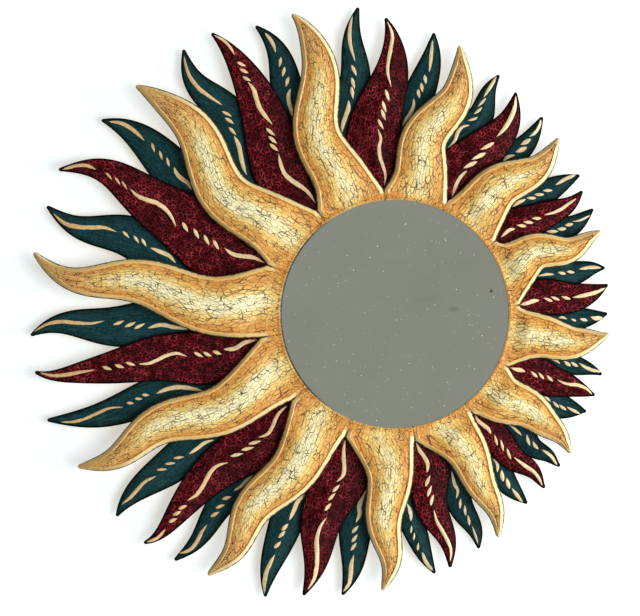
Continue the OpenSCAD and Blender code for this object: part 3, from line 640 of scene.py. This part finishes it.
class Shade:
    """Short names for the nodes that the materials use."""

    def __init__(self, name):
        self.mat = bpy.data.materials.new(name)
        self.mat.use_nodes = True
        self.tree = self.mat.node_tree
        self.bsdf = self.tree.nodes["Principled BSDF"]

    def add(self, kind, inputs=(), **props):
        n = self.tree.nodes.new("ShaderNode" + kind)
        for key, value in props.items():
            setattr(n, key, value)
        for key, value in dict(inputs).items():
            self.set(n.inputs[key], value)
        return n

    def set(self, socket, value):
        if isinstance(value, bpy.types.NodeSocket):
            self.tree.links.new(value, socket)
        else:
            socket.default_value = value

    def attribute(self, name, output="Fac"):
        return self.add("Attribute", attribute_name=name).outputs[output]

    def math(self, operation, a, b=0.0):
        return self.add("Math", {0: a, 1: b}, operation=operation).outputs[0]

    def times(self, a, b):
        return self.math("MULTIPLY", a, b)

    def plus(self, a, b):
        return self.math("ADD", a, b)

    def axis(self, vector, number):
        return self.add("SeparateXYZ", {0: vector}).outputs[number]

    def vector(self, operation, a, b=None, output=0):
        inputs = {0: a} if b is None else {0: a, 1: b}
        return self.add("VectorMath", inputs, operation=operation).outputs[output]

    def mix(self, factor, a, b):
        n = self.add("Mix", {0: factor}, data_type="RGBA")
        self.set(n.inputs[6], a if isinstance(a, bpy.types.NodeSocket) else rgb(a))
        self.set(n.inputs[7], b if isinstance(b, bpy.types.NodeSocket) else rgb(b))
        return n.outputs[2]

    def band(self, value, low, high, out_low=0.0, out_high=1.0):
        """Smooth step of a value between two limits."""
        return self.add("MapRange", {"Value": value, "From Min": low, "From Max": high,
                                     "To Min": out_low, "To Max": out_high},
                        interpolation_type="SMOOTHSTEP").outputs[0]

    def scaled(self, vector, scale):
        return self.vector("MULTIPLY", vector, scale)

    def noise(self, vector, scale, detail=3.0, roughness=.5, output="Fac"):
        return self.add("TexNoise", {"Vector": vector, "Scale": scale, "Detail": detail,
                                     "Roughness": roughness}).outputs[output]

    def wobble(self, vector, scale, amount):
        """The vector, pushed about a little by noise."""
        n = self.noise(vector, scale, 2.0, output="Color")
        push = self.vector("SUBTRACT", n, (.5, .5, .5))
        return self.vector("ADD", self.scaled(push, (amount,) * 3), vector)

    def cells(self, vector, scale, feature="DISTANCE_TO_EDGE", output="Distance", randomness=1.0,
              dims="2D"):
        return self.add("TexVoronoi", {"Vector": vector, "Scale": scale, "Randomness": randomness},
                        feature=feature, voronoi_dimensions=dims).outputs[output]

    def cracks(self, vector, scale, longer, randomness=1.0):
        """Distance from the lines of a net of cells, evened out for cells that are drawn
        longer in Y, so that a line along the cells is as wide as a line across them."""
        middle = self.cells(vector, scale, "F1", "Position", randomness)
        away = self.vector("SUBTRACT", vector, middle)
        away = self.vector("NORMALIZE", self.scaled(away, (1, 1, 0)))
        size = self.vector("LENGTH", self.scaled(away, (1, 1 / longer, 0)), output="Value")
        return self.math("DIVIDE", self.cells(vector, scale, randomness=randomness),
                         self.math("MAXIMUM", size, .5 / longer))

    def bump(self, height, distance, strength=1.0, normal=None):
        inputs = {"Height": height, "Distance": distance * MM, "Strength": strength}
        n = self.add("Bump", inputs)
        if normal is not None:
            self.set(n.inputs["Normal"], normal)
        return n.outputs[0]

    def done(self, **inputs):
        for key, value in inputs.items():
            key = {"Base": "Base Color", "Coat": "Coat Weight", "CoatRough": "Coat Roughness",
                   "Sheen": "Sheen Weight", "Level": "Specular IOR Level"}.get(key, key)
            self.set(self.bsdf.inputs[key], value)
        return self.mat


def around_glass(m):
    """A point's distance from the middle of the opening, and 1 on the opening's left side."""
    flat = m.scaled(object_coords(m), (1, 0, 1))
    off = m.vector("SUBTRACT", flat, (GLASS_C[0] * MM, 0, GLASS_C[1] * MM))
    far = m.vector("LENGTH", off, output="Value")
    return far, m.band(m.axis(off, 0), -.1, -.05, 1.0, 0.0)


def gold_front():
    m = Shade("gold_crackle")
    place = m.attribute("crackle", "Vector")
    rim, groove, pale = m.attribute("rim"), m.attribute("groove"), m.attribute("pale")
    tip, seam = m.attribute("tip"), m.attribute("edge")
    vec = m.wobble(place, 1.3, .35)
    net = m.cracks(vec, 1.0, 2.3, .9)
    tint = m.cells(vec, 1.0, "F1", "Color", .9)
    split = m.cracks(m.wobble(place, 2.4, .25), 1.9, 2.3)
    big = m.cracks(m.wobble(place, .7, .5), .42, 2.3)
    blotch = m.noise(place, .4, 3.0)
    cloud = m.noise(place, 1.6, 3.0)
    spine = m.plus(pale, m.band(blotch, .3, .7, -.12, .12))
    spine = m.plus(spine, m.band(tint, .1, .9, -.05, .05))
    deep = m.mix(m.band(cloud, .35, .7), "#D99236", "#EBAD50")
    warm = m.mix(m.band(cloud, .3, .7), "#F0C466", "#F7D880")
    light = m.mix(m.band(cloud, .35, .7), "#FCEEAE", "#FFF8CE")
    body = m.mix(m.band(spine, .05, .5), deep, warm)
    body = m.mix(m.band(spine, .45, .95), body, light)
    body = m.mix(m.times(tip, .75), body, m.mix(m.band(cloud, .3, .7), "#CC9C54", "#E2BC7C"))
    each = m.band(tint, .1, .9, .95, 1.05)
    body = m.scaled(body, each)
    # The groove beside the rim is painted a little darker: painted shade of the recess
    body = m.mix(m.times(groove, .1), body, "#B87A2E")
    crack_c = m.mix(m.band(spine, .2, .8), "#5E3006", "#33260C")
    patch = m.band(m.noise(place, .55, 1.0), .35, .65)
    lines = m.times(m.band(net, m.band(patch, 0, 1, .035, .065),
                                      m.band(patch, 0, 1, .09, .13), 1.0, 0.0),
                   m.band(patch, 0, 1, .7, 1.0))
    thin = m.times(m.band(split, .03, .1, 1.0, 0.0),
                  m.band(m.noise(place, .8, 1.0), .4, .62, .05, .7))
    wide = m.times(m.band(big, .04, .09, 1.0, 0.0), patch)
    lines = m.math("MAXIMUM", lines, m.math("MAXIMUM", thin, wide))
    lines = m.math("MINIMUM", m.times(lines, m.band(tip, 0, 1, .95, 1.6)), 1.0)
    panel = m.mix(lines, body, crack_c)
    plain = m.mix(m.band(m.noise(place, 2.0, 4.0, .6), .3, .7), "#E8BE6C", "#F7DA92")
    # The plain tips are tan paint; towards the west side of the object they are darker, which is painted
    # shade
    tan_tip_and_painted_shade = m.mix(m.band(m.noise(place, 1.1, 4.0, .65), .35, .7), "#B58C40", "#DDB96E")
    across = m.axis(object_coords(m), 0)
    tan_tip_and_painted_shade = m.mix(m.band(across, -.3, -.15, .45, 0.0), tan_tip_and_painted_shade, "#94722E")
    plain = m.mix(tip, plain, tan_tip_and_painted_shade)
    # Along the rims' outer edges the paint is paler, strongest on the east side of the object: a painted
    # highlight
    east = m.band(across, -.15, .1, .25, .9)
    plain_tip_and_painted_light = m.times(m.band(seam, .7, 1.2), m.band(seam, 1.4, 2.3, 1.0, 0.0))
    plain_tip_and_painted_light = m.times(plain_tip_and_painted_light, m.band(m.noise(place, .7, 2.0), .3, .6, .4, 1.0))
    plain = m.mix(m.times(plain_tip_and_painted_light, east), plain, "#FFF8D2")
    radius, west = around_glass(m)
    # Facets that face east are painted paler and facets that face west darker, outside the opening's
    # lip: painted highlight and painted shade
    faces = m.axis(m.add("TexCoord").outputs["Normal"], 0)
    faces = m.times(faces, m.band(radius, .129, .13))
    plain = m.mix(m.band(faces, .1, .5, 0, .75), plain, "#FFF2BC")
    plain = m.mix(m.band(faces, -.5, -.15, .6, 0), plain, "#A8843C")
    colour = m.mix(rim, panel, plain)
    outline = m.band(m.plus(seam, m.band(cloud, .3, .7, -.4, .4)), .7, 1.55, .95, 0.0)
    colour = m.mix(m.times(outline, rim), colour, "#3E2A10")
    dark = m.band(m.plus(seam, m.band(cloud, .3, .7, -.2, .2)), .15, .6, .45, 0.0)
    colour = m.mix(dark, colour, "#5E3A18")
    # A dark line along the opening's edge on its left side only: painted shade of the gap between lip
    # and glass
    lip = m.times(m.band(radius, .1256, .1267, 1.0, 0.0), m.band(west, 0, 1, .45, .97))
    colour = m.mix(lip, colour, "#1A0E04")
    height = m.times(lines, -1.0)
    height = m.times(height, m.math("SUBTRACT", 1.0, rim))
    height = m.plus(height, m.times(cloud, .25))
    return m.done(Base=colour, Metallic=m.band(rim, 0, 1, .03, .12), Level=.5,
                  Roughness=m.band(rim, 0, 1, .55, .27), Normal=m.bump(height, .3, .7))


def object_coords(m):
    return m.add("TexCoord").outputs["Object"]


def painted_side(name, dark, light, roughness=.5):
    m = Shade(name)
    v = object_coords(m)
    grain = m.noise(m.scaled(v, (300, 60, 300)), 1.0, 4.0)
    return m.done(Base=m.mix(m.band(grain, .3, .7), dark, light), Roughness=roughness,
                  Normal=m.bump(grain, .15, .6))


def bare_wood(name, dark, light, along=(35, 35, 9)):
    """Sawn wood whose grain runs along Z, with fine pores."""
    m = Shade(name)
    v = object_coords(m)
    bent = m.wobble(m.scaled(v, along), .8, .9)
    rings = m.add("TexWave", {"Vector": bent, "Scale": 1.6, "Distortion": 2.5, "Detail": 3.0},
                  bands_direction="X").outputs["Fac"]
    fibre = m.noise(m.scaled(v, (900, 900, 40)), 1.0, 4.0, .6)
    both = m.plus(m.times(rings, .6), m.times(fibre, .55))
    return m.done(Base=m.mix(m.band(both, .25, .95), light, dark), Roughness=.72,
                  Normal=m.bump(both, .12, .6))


def maroon_front():
    m = Shade("maroon_crackle")
    place = m.attribute("crackle", "Vector")
    edge = m.attribute("edge")
    vec = m.wobble(place, 1.6, .5)
    net = m.cells(vec, 1.0)
    small = m.cells(m.wobble(place, 2.6, .4), 1.75)
    tint = m.cells(vec, 1.0, "F1", "Color")
    patch = m.noise(place, .2, 2.0)
    spots = m.noise(place, 1.7, 4.0, .65)
    base = m.mix(m.band(spots, .3, .7), "#0E0000", "#260103")
    base = m.mix(m.band(tint, .5, .9), base, "#170001")
    main = m.band(net, .06, .125, 1.0, 0.0)
    web = m.band(small, .05, .11, 1.0, 0.0)
    glow = m.band(patch, .36, .62)
    main = m.times(main, m.band(glow, 0, 1, .3, .95))
    main = m.times(main, m.band(m.noise(place, .9, 2.0), .35, .6, .2, 1.0))
    web = m.times(web, m.band(m.noise(place, .8, 1.0), .42, .62, 0, .4))
    lines = m.math("MAXIMUM", main, web)
    vein = m.mix(m.band(m.noise(place, .6, 2.0), .4, .65), "#961A28", "#C8454F")
    colour = m.mix(m.times(lines, .85), base, vein)
    rag = m.plus(edge, m.band(m.noise(place, 1.5, 2.0), .3, .7, -.6, .6))
    colour = m.mix(m.band(rag, 1.2, 2.8), "#060002", colour)
    height = m.plus(m.times(lines, .8), m.noise(place, 3.0, 3.0))
    return m.done(Base=colour, Roughness=.5, Level=.05, Normal=m.bump(height, .25, .6))


def green_front():
    m = Shade("green_crackle")
    place = m.attribute("crackle", "Vector")
    edge = m.attribute("edge")
    streak = m.noise(m.scaled(place, (1.6, .35, 1)), 1.6, 4.0, .6)
    vec = m.wobble(place, 1.5, .4)
    fine = m.cells(vec, 1.0)
    tint = m.cells(vec, 1.0, "F1", "Color")
    shade = m.mix(m.band(streak, .3, .7), "#051F1C", "#143530")
    base = m.mix(m.band(streak, .3, .7), "#0C2E31", "#22484C")
    base = m.mix(m.band(m.plus(edge, m.band(streak, .3, .7, -2.0, 2.0)), 1.5, 7.5),
                 shade, base)
    base = m.mix(m.band(tint, .5, .95, 0, .5), base, "#0F2D2F")
    lines = m.band(fine, .02, .12, 1.0, 0.0)
    lines = m.times(lines, m.band(m.noise(place, .5, 1.0), .35, .65, .2, .8))
    colour = m.mix(lines, base, "#03110D")
    rag = m.plus(edge, m.band(m.noise(place, 1.2, 2.0), .3, .7, -.6, .6))
    colour = m.mix(m.band(rag, 1.2, 2.8), "#000502", colour)
    height = m.math("SUBTRACT", streak, m.times(lines, .8))
    return m.done(Base=colour, Roughness=.5, Level=.05, Normal=m.bump(height, .2, .6))


def stroke_paint():
    m = Shade("stroke_paint")
    v = object_coords(m)
    brush = m.noise(m.scaled(v, (260, 260, 260)), 1.0, 4.0, .6)
    # Strokes on the east side and near the middle are painted paler, the others darker tan: painted
    # highlight and painted shade
    across = m.band(m.axis(v, 0), -.28, .1)
    from_middle = m.vector("LENGTH", v, output="Value")
    inner = m.band(from_middle, .2, .28, .75, 0.0)
    plain_tip_and_painted_light = m.mix(m.band(brush, .3, .75), "#C99F66", "#E2C08C")
    highlit_stroke = m.mix(m.band(brush, .3, .75), "#E8CB96", "#F8E6C0")
    return m.done(Base=m.mix(m.math("MAXIMUM", across, inner), plain_tip_and_painted_light, highlit_stroke), Roughness=.42,
                  Level=.3, Normal=m.bump(brush, .12, .6))


# Marks on the mirror glass, in metres of the shared frame
DARK_SPOT_AT = (.1869, 0, .0131)
SMUDGE_AT, SMUDGE_FLATNESS = (.1474, 0, -.0066), 3.2


def mirror_surface():
    """Silvered glass with a little dust, one dark spot and a faint smudge beside it."""
    m = Shade("mirror_silver")
    flat = m.scaled(object_coords(m), (1, 0, 1))
    dust = None
    for scale, size in ((75.0, .06), (130.0, .08), (260.0, .1)):
        dot = m.cells(flat, scale, "F1", dims="3D")
        pick = m.cells(flat, scale, "F1", "Color", dims="3D")
        speck = m.math("SUBTRACT", m.band(pick, .35, 1.0, 0.0, size), dot)
        speck = m.add("MapRange", {"Value": speck, "From Min": 0.0, "From Max": .02}).outputs[0]
        dust = speck if dust is None else m.math("MAXIMUM", dust, speck)
    haze = m.noise(flat, 14.0, 3.0)
    smear = m.noise(m.scaled(flat, (14, 1, 60)), 1.0, 3.0)
    film = m.band(haze, .35, .75, 0.0, .3)
    film = m.plus(film, m.band(smear, .55, .8, 0.0, .3))
    silver = m.mix(film, "#D6D8D2", "#C4C7BE")
    near = m.vector("DISTANCE", m.wobble(flat, 300.0, .002), DARK_SPOT_AT, "Value")
    spot = m.band(near, .0008, .0026, .85, 0.0)
    off = m.scaled(m.vector("SUBTRACT", flat, SMUDGE_AT), (1, 1, SMUDGE_FLATNESS))
    far = m.vector("LENGTH", off, output="Value")
    smudge = m.times(m.band(far, .002, .012, .4, 0.0), m.band(haze, .3, .6))
    silver = m.mix(m.math("MAXIMUM", spot, smudge), silver, "#3A3A34")
    silver = m.mix(m.times(dust, .34), silver, "#F4F4F0")
    radius, west = around_glass(m)
    # A dark line where the glass meets the lip, on the left side only: a dark joint with painted shade
    joint = m.times(m.band(radius, .124, .1248), west)
    colour = m.mix(joint, silver, "#10100C")
    return m.done(Base=colour, Metallic=m.math("SUBTRACT", 1.0, m.times(dust, .9)),
                  Roughness=m.plus(m.times(dust, .6), .02))


def plywood():
    """Face veneer on the two flat sides and alternating plies on the edges."""
    m = Shade("birch_plywood")
    v = object_coords(m)
    bent = m.wobble(m.scaled(v, (7, 30, 32)), .7, .9)
    rings = m.add("TexWave", {"Vector": bent, "Scale": 1.3, "Distortion": 3.0, "Detail": 3.0},
                  bands_direction="Z").outputs["Fac"]
    fibre = m.noise(m.scaled(v, (35, 900, 800)), 1.0, 4.0, .6)
    both = m.plus(m.times(rings, .55), m.times(fibre, .5))
    face = m.mix(m.band(both, .25, .95), "#DDBD8A", "#B98C54")
    depth = m.axis(v, 1)
    ply = m.math("FRACT", m.times(depth, 1000 / 3.2))
    side = m.mix(m.band(ply, .42, .58), "#CFA871", "#8A6336")
    side = m.mix(m.band(fibre, .3, .7, 0, .5), side, "#A77D48")
    facing = m.axis(m.add("NewGeometry").outputs["Normal"], 1)
    flat = m.band(m.math("ABSOLUTE", facing), .5, .8)
    return m.done(Base=m.mix(flat, side, face), Roughness=.62, Normal=m.bump(both, .1, .5))


def hardboard():
    m = Shade("hardboard_brown")
    v = object_coords(m)
    fibre = m.noise(v, 420.0, 5.0, .7)
    clump = m.noise(v, 60.0, 3.0)
    screen_x = m.math("SINE", m.times(m.axis(v, 0), 3600.0))
    screen_z = m.math("SINE", m.times(m.axis(v, 2), 3600.0))
    screen = m.times(screen_x, screen_z)
    colour = m.mix(m.band(fibre, .3, .7), "#5E3F24", "#8A6440")
    colour = m.mix(m.band(clump, .4, .7, 0, .5), colour, "#6F4C2C")
    height = m.plus(fibre, m.times(screen, .35))
    return m.done(Base=colour, Roughness=.8, Normal=m.bump(height, .2, .7))


def steel(name, dark, light, roughness, brushed=(900, 900, 900)):
    m = Shade(name)
    v = object_coords(m)
    grain = m.noise(m.scaled(v, brushed), 1.0, 4.0, .6)
    spots = m.noise(v, 160.0, 3.0)
    colour = m.mix(m.band(spots, .35, .7), dark, light)
    rough = m.band(grain, .3, .7, roughness - .08, roughness + .1)
    return m.done(Base=colour, Metallic=1.0, Roughness=rough, Normal=m.bump(grain, .03, .5))


def felt():
    m = Shade("felt_grey")
    v = object_coords(m)
    fuzz = m.noise(v, 900.0, 5.0, .75)
    clump = m.noise(v, 260.0, 3.0)
    colour = m.mix(m.band(fuzz, .3, .7), "#332B26", "#6A5D53")
    colour = m.mix(m.band(clump, .35, .7, 0, .4), colour, "#4A4038")
    return m.done(Base=colour, Roughness=.95, Sheen=.5, Normal=m.bump(fuzz, .4, .9))


# Small turned pieces

def lathe(profile, segments, at, shape=None):
    """Closed solid turned about the Y axis through at (x, y, z). The profile is a row
    of (radius, y) from one end to the other, with radius 0 at both ends."""
    verts, faces, rings = [], [], []
    for r, y in profile:
        if r == 0:
            rings.append([len(verts)])
            verts.append((0.0, y + (shape(0.0, 0.0, y) if shape else 0.0), 0.0))
            continue
        ring = []
        for k in range(segments):
            a = 2 * math.pi * k / segments
            x, z = r * math.cos(a), r * math.sin(a)
            ring.append(len(verts))
            verts.append((x, y + (shape(x, z, y) if shape else 0.0), z))
        rings.append(ring)
    for a, b in zip(rings, rings[1:]):
        for k in range(segments):
            a0, a1 = a[k % len(a)], a[(k + 1) % len(a)]
            b0, b1 = b[k % len(b)], b[(k + 1) % len(b)]
            face = list(dict.fromkeys((a0, b0, b1, a1)))
            if len(face) > 2:
                faces.append(tuple(face))
    return np.array(verts) + np.array(at), faces


def pan_screw(x, z, y, length, turn):
    """Pan head screw with a cross recess, its head's underside on the plane y."""
    head_r, head_h, shank_r = 3.25, 2.0, 1.5
    slot_half_w, slot_half_l, slot_depth = .55, 1.85, 1.15
    c, s = math.cos(turn), math.sin(turn)

    def recess(px, pz, py):
        if py < y + head_h * .4:
            return 0.0
        a, b = abs(px * c + pz * s), abs(pz * c - px * s)
        arm = 0.0
        for u, w in ((a, b), (b, a)):
            across = min(1.0, max(0.0, (slot_half_w - w) / .22))
            arm = max(arm, across * min(1.0, max(0.0, (slot_half_l - u) / .5)))
        return -slot_depth * arm
    profile = [(0, y - length), (.35, y - length + .2), (shank_r * .8, y - length + 2.2),
               (shank_r, y - length + 3.4), (shank_r, y), (head_r - .15, y),
               (head_r, y + .12), (head_r, y + .6)]
    dome = lambda r: y + .6 + (head_h - .6) * (1 - (r / head_r) ** 3.2) ** .6
    radii = [3.18, 3.0, 2.7, 2.35, 2.1] + [1.95 - .15 * k for k in range(13)]
    profile += [(r, dome(r)) for r in radii] + [(0, dome(0))]
    return lathe(profile, 40, (x, 0, z), recess)


def felt_pad(x, z, seed):
    """Felt bumper from the plywood to the wall plane, with an uneven, fuzzy rim."""
    r, y0, y1 = 9.0, PLY_BACK, WALL_Y
    profile = [(0, y0), (r * .97, y0), (r, y0 + .4), (r, y0 + 1.6), (r, y0 + 2.8),
               (r - .3, y1 - .5), (r - 1, y1 - .08), (r * .75, y1), (r * .5, y1), (r * .25, y1), (0, y1)]
    verts, faces = lathe(profile, 56, (0, 0, 0))
    for v in verts:
        fuzz = noise.noise(Vector((v[0] * 1.4, v[1] * 1.4, v[2] * 1.4 + seed * 9)))
        rad = math.hypot(v[0], v[2])
        if rad > r * .6:
            v[[0, 2]] *= 1 - .02 * abs(fuzz)
        if v[1] > y1 - .3:
            v[1] -= .1 * abs(fuzz)
    return verts + np.array([x, 0, z]), faces


# The object

gold_mats = [gold_front(), painted_side("gold_side", "#8E6428", "#C4934A"),
             bare_wood("bare_wood_gold", "#A9855A", "#D2B184")]
leaf_back = bare_wood("bare_wood_leaf", "#9C7A50", "#C9A87A")
maroon_mats = [maroon_front(), painted_side("maroon_side", "#0E0206", "#260610"), leaf_back]
green_mats = [green_front(), painted_side("green_side", "#03100F", "#0A2427"), leaf_back]
stroke_mat = stroke_paint()


def place(obj, body, slot, *nodes):
    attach(obj, body)
    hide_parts(*nodes)


for n in range(12):
    place(gold_ray(n, gold_mats), "frame", "gold_paint", f"gold_ray_{n + 1:02d}")


def place_leaf(kind, n, leaf, cell, seed, materials, marks):
    """A leaf and the strokes painted on it. The cell is the crackle's, along and across."""
    tag = f"{n + 1:02d}"
    place(leaf_mesh(f"{kind}_leaf_{tag}", leaf, cell, seed, materials),
          "frame", f"{kind}_paint", f"{kind}_ray_{tag}")
    strokes = marks_mesh(f"{kind}_strokes_{tag}", leaf, marks[n], stroke_mat)
    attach(strokes, "frame")


for n, row in enumerate(MAROON):
    width, fullness, sway = row[2:]
    root, tip = valley(n), tip_point(row, -1)
    length = float(np.hypot(*(tip - root)))
    start = (MAROON_ROOT_R - OPENING_R - VALLEYS[n][1]) / length
    leaf = Leaf(root, tip, width, fullness, sway, start, .3, .04, MAROON_BACK)
    place_leaf("maroon", n, leaf, (3.3, 4.5), n + 1, maroon_mats, MAROON_MARKS)

for n, row in enumerate(GREEN):
    root_deg, width, fullness, sway = row[2:]
    root, tip = on_circle(GLASS_C, GREEN_ROOT_R, root_deg), tip_point(row, -1)
    length = float(np.hypot(*(tip - root)))
    leaf = Leaf(root, tip, width, fullness, sway, 0.0, .5, PLY_W / length, GREEN_BACK)
    place_leaf("green", n, leaf, (3.0, 6.5), n + 31, green_mats, GREEN_MARKS)

zinc = steel("zinc_plate", "#A9ADB0", "#D2D5D6", .36)
nickel = steel("nickel_plate", "#B9B6AC", "#DEDCD2", .24)


def place_screws(name, node, seats, plane, length):
    """Set of screws, given each seat's x, z and the turn of its recess."""
    screws = [pan_screw(x, z, plane, length, turn) for x, z, turn in seats]
    place(joined(name, screws, [zinc], 30), "frame", "zinc_steel", node)


seats = [(*on_circle(GLASS_C, PLY_SCREW_R, row[2]), .9 * k) for k, row in enumerate(GREEN)]
place_screws("ring_screw_set", "ring_screws", seats, PLY_BACK, PLY_SCREW_L)

# The washers sit behind every second gold ray
WASHER_C_R, WASHER_T, BACKING_SCREW_L = 136.0, 1.2, 9.0
middles = [(VALLEYS[k][0] + VALLEYS[k + 1][0]) / 2 for k in range(0, 12, 2)]
seats = [(*on_circle(GLASS_C, WASHER_C_R, a), .7 * k) for k, a in enumerate(middles)]
place_screws("backing_screw_set", "backing_screws", seats, WASHER_T, BACKING_SCREW_L)

# The hanger's hinge is below the plywood ring's outer edge
PLY_R, HANGER_LEFT, HANGER_DROP = 192.0, 48.0, 5.0
hinge_x = GLASS_C[0] - HANGER_LEFT
hinge_z = GLASS_C[1] + math.sqrt(PLY_R ** 2 - HANGER_LEFT ** 2) - HANGER_DROP
STRAP_HOLES, STRAP_T, STRAP_SCREW_L = (23.5, 33.5), 1.0, 8.0
seats = [(hinge_x, hinge_z - d, .5 + d) for d in STRAP_HOLES]
place_screws("hanger_screw_set", "hanger_screws", seats, PLY_BACK + STRAP_T, STRAP_SCREW_L)

BUMPER_R, BUMPER_ANGLES = 176.0, (35, 150, 232, 322)
pads = [felt_pad(*on_circle(GLASS_C, BUMPER_R, a), a) for a in BUMPER_ANGLES]
place(joined("felt_pad_set", pads, [felt()], 40), "frame", "felt", "felt_bumpers")

for node, material in (("mirror_glass", mirror_surface()), ("backing_board", hardboard()),
                       ("plywood_ring", plywood()), ("backing_washers", zinc),
                       ("hanger_strap", nickel), ("hanger_ring", nickel)):
    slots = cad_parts[node].material_slots
    for k in range(len(slots)):
        slots[k].material = material

# Camera, light and wall

# Millimetres of the object to a pixel of the photograph, and the photograph's width
PX, WIDE_PX = 1.1, 640
CAMERA_X, CAMERA_Z = -1.1, -5.5
CAMERA_FAR, SENSOR = 4000.0, 36.0
camera = bpy.data.cameras.new("camera")
camera.sensor_width = SENSOR
camera.lens = SENSOR * CAMERA_FAR / (WIDE_PX * PX)
camera.clip_end = 100.0
eye = bpy.data.objects.new("camera", camera)
eye.location = (CAMERA_X * MM, -CAMERA_FAR * MM, CAMERA_Z * MM)
eye.rotation_euler = (math.pi / 2, 0, 0)
bpy.context.scene.collection.objects.link(eye)
bpy.context.scene.camera = eye


def lamp(name, place, aim, size, watts):
    data = bpy.data.lights.new(name, "AREA")
    data.shape, data.size, data.energy = "DISK", size, watts
    obj = bpy.data.objects.new(name, data)
    obj.location = place
    obj.rotation_euler = (Vector(aim) - Vector(place)).to_track_quat("-Z", "Y").to_euler()
    bpy.context.scene.collection.objects.link(obj)


lamp("key", (1.6, -2.9, -.35), (0, 0, 0), 2.0, 70)
lamp("side", (3.2, -1.3, -.1), (0, 0, 0), 1.0, 52)
lamp("rear", (-1.6, 2.6, 1.6), (0, 0, 0), 1.6, 80)

# The sky is white where the camera or a reflection sees it, and dimmer as a light
world = bpy.data.worlds.new("studio")
bpy.context.scene.world = world
world.use_nodes = True
w = world.node_tree
sky = w.nodes["Background"]
sky.inputs["Color"].default_value = (1, 1, 1, 1)
path = w.nodes.new("ShaderNodeLightPath")
seen = path.outputs["Is Camera Ray"]
for kind in ("Is Glossy Ray", "Is Transmission Ray"):
    either = w.nodes.new("ShaderNodeMath")
    either.operation = "MAXIMUM"
    w.links.new(seen, either.inputs[0])
    w.links.new(path.outputs[kind], either.inputs[1])
    seen = either.outputs[0]
level = w.nodes.new("ShaderNodeMapRange")
level.inputs["To Min"].default_value = .42
level.inputs["To Max"].default_value = 1.0
w.links.new(seen, level.inputs["Value"])
w.links.new(level.outputs[0], sky.inputs["Strength"])


def panel(name, size, place_at, facing, material):
    """Flat square of the studio, facing along +Y or -Y."""
    h = size / 2
    pts = [(-h, 0, -h), (h, 0, -h), (h, 0, h), (-h, 0, h)]
    mesh = bpy.data.meshes.new(name)
    mesh.from_pydata(pts if facing < 0 else pts[::-1], [], [(0, 1, 2, 3)])
    mesh.materials.append(material)
    obj = bpy.data.objects.new(name, mesh)
    obj.location = place_at
    bpy.context.scene.collection.objects.link(obj)
    return obj


# The white wall lets a camera behind it see the back of the mirror
m = Shade("wall_white")
m.set(m.bsdf.inputs["Base Color"], (.70, .79, .80, 1))
m.set(m.bsdf.inputs["Roughness"], .9)
m.set(m.bsdf.inputs["Emission Color"], (1, 1, 1, 1))
glow = m.times(m.add("LightPath").outputs["Is Camera Ray"], .36)
m.set(m.bsdf.inputs["Emission Strength"], glow)
clear = m.add("BsdfTransparent").outputs[0]
through = m.add("MixShader", {0: m.add("NewGeometry").outputs["Backfacing"],
                              1: m.bsdf.outputs[0], 2: clear}).outputs[0]
m.tree.links.new(through, m.tree.nodes["Material Output"].inputs["Surface"])
wall = panel("wall", 6.0, (0, (WALL_Y + .05) * MM, 0), -1, m.mat)
wall.visible_diffuse = wall.visible_shadow = wall.visible_transmission = False

# The grey card behind the camera is what the mirror shows
m = Shade("grey_card")
card_mix = m.add("Emission", {"Color": (.36, .375, .335, 1), "Strength": 1.0}).outputs[0]
m.tree.links.new(card_mix, m.tree.nodes["Material Output"].inputs["Surface"])
card = panel("card", 12.0, (0, -6.5, 0), 1, m.mat)
card.visible_camera = card.visible_shadow = card.visible_diffuse = False
card.visible_transmission = False

bpy.context.scene.view_settings.view_transform = "Standard"
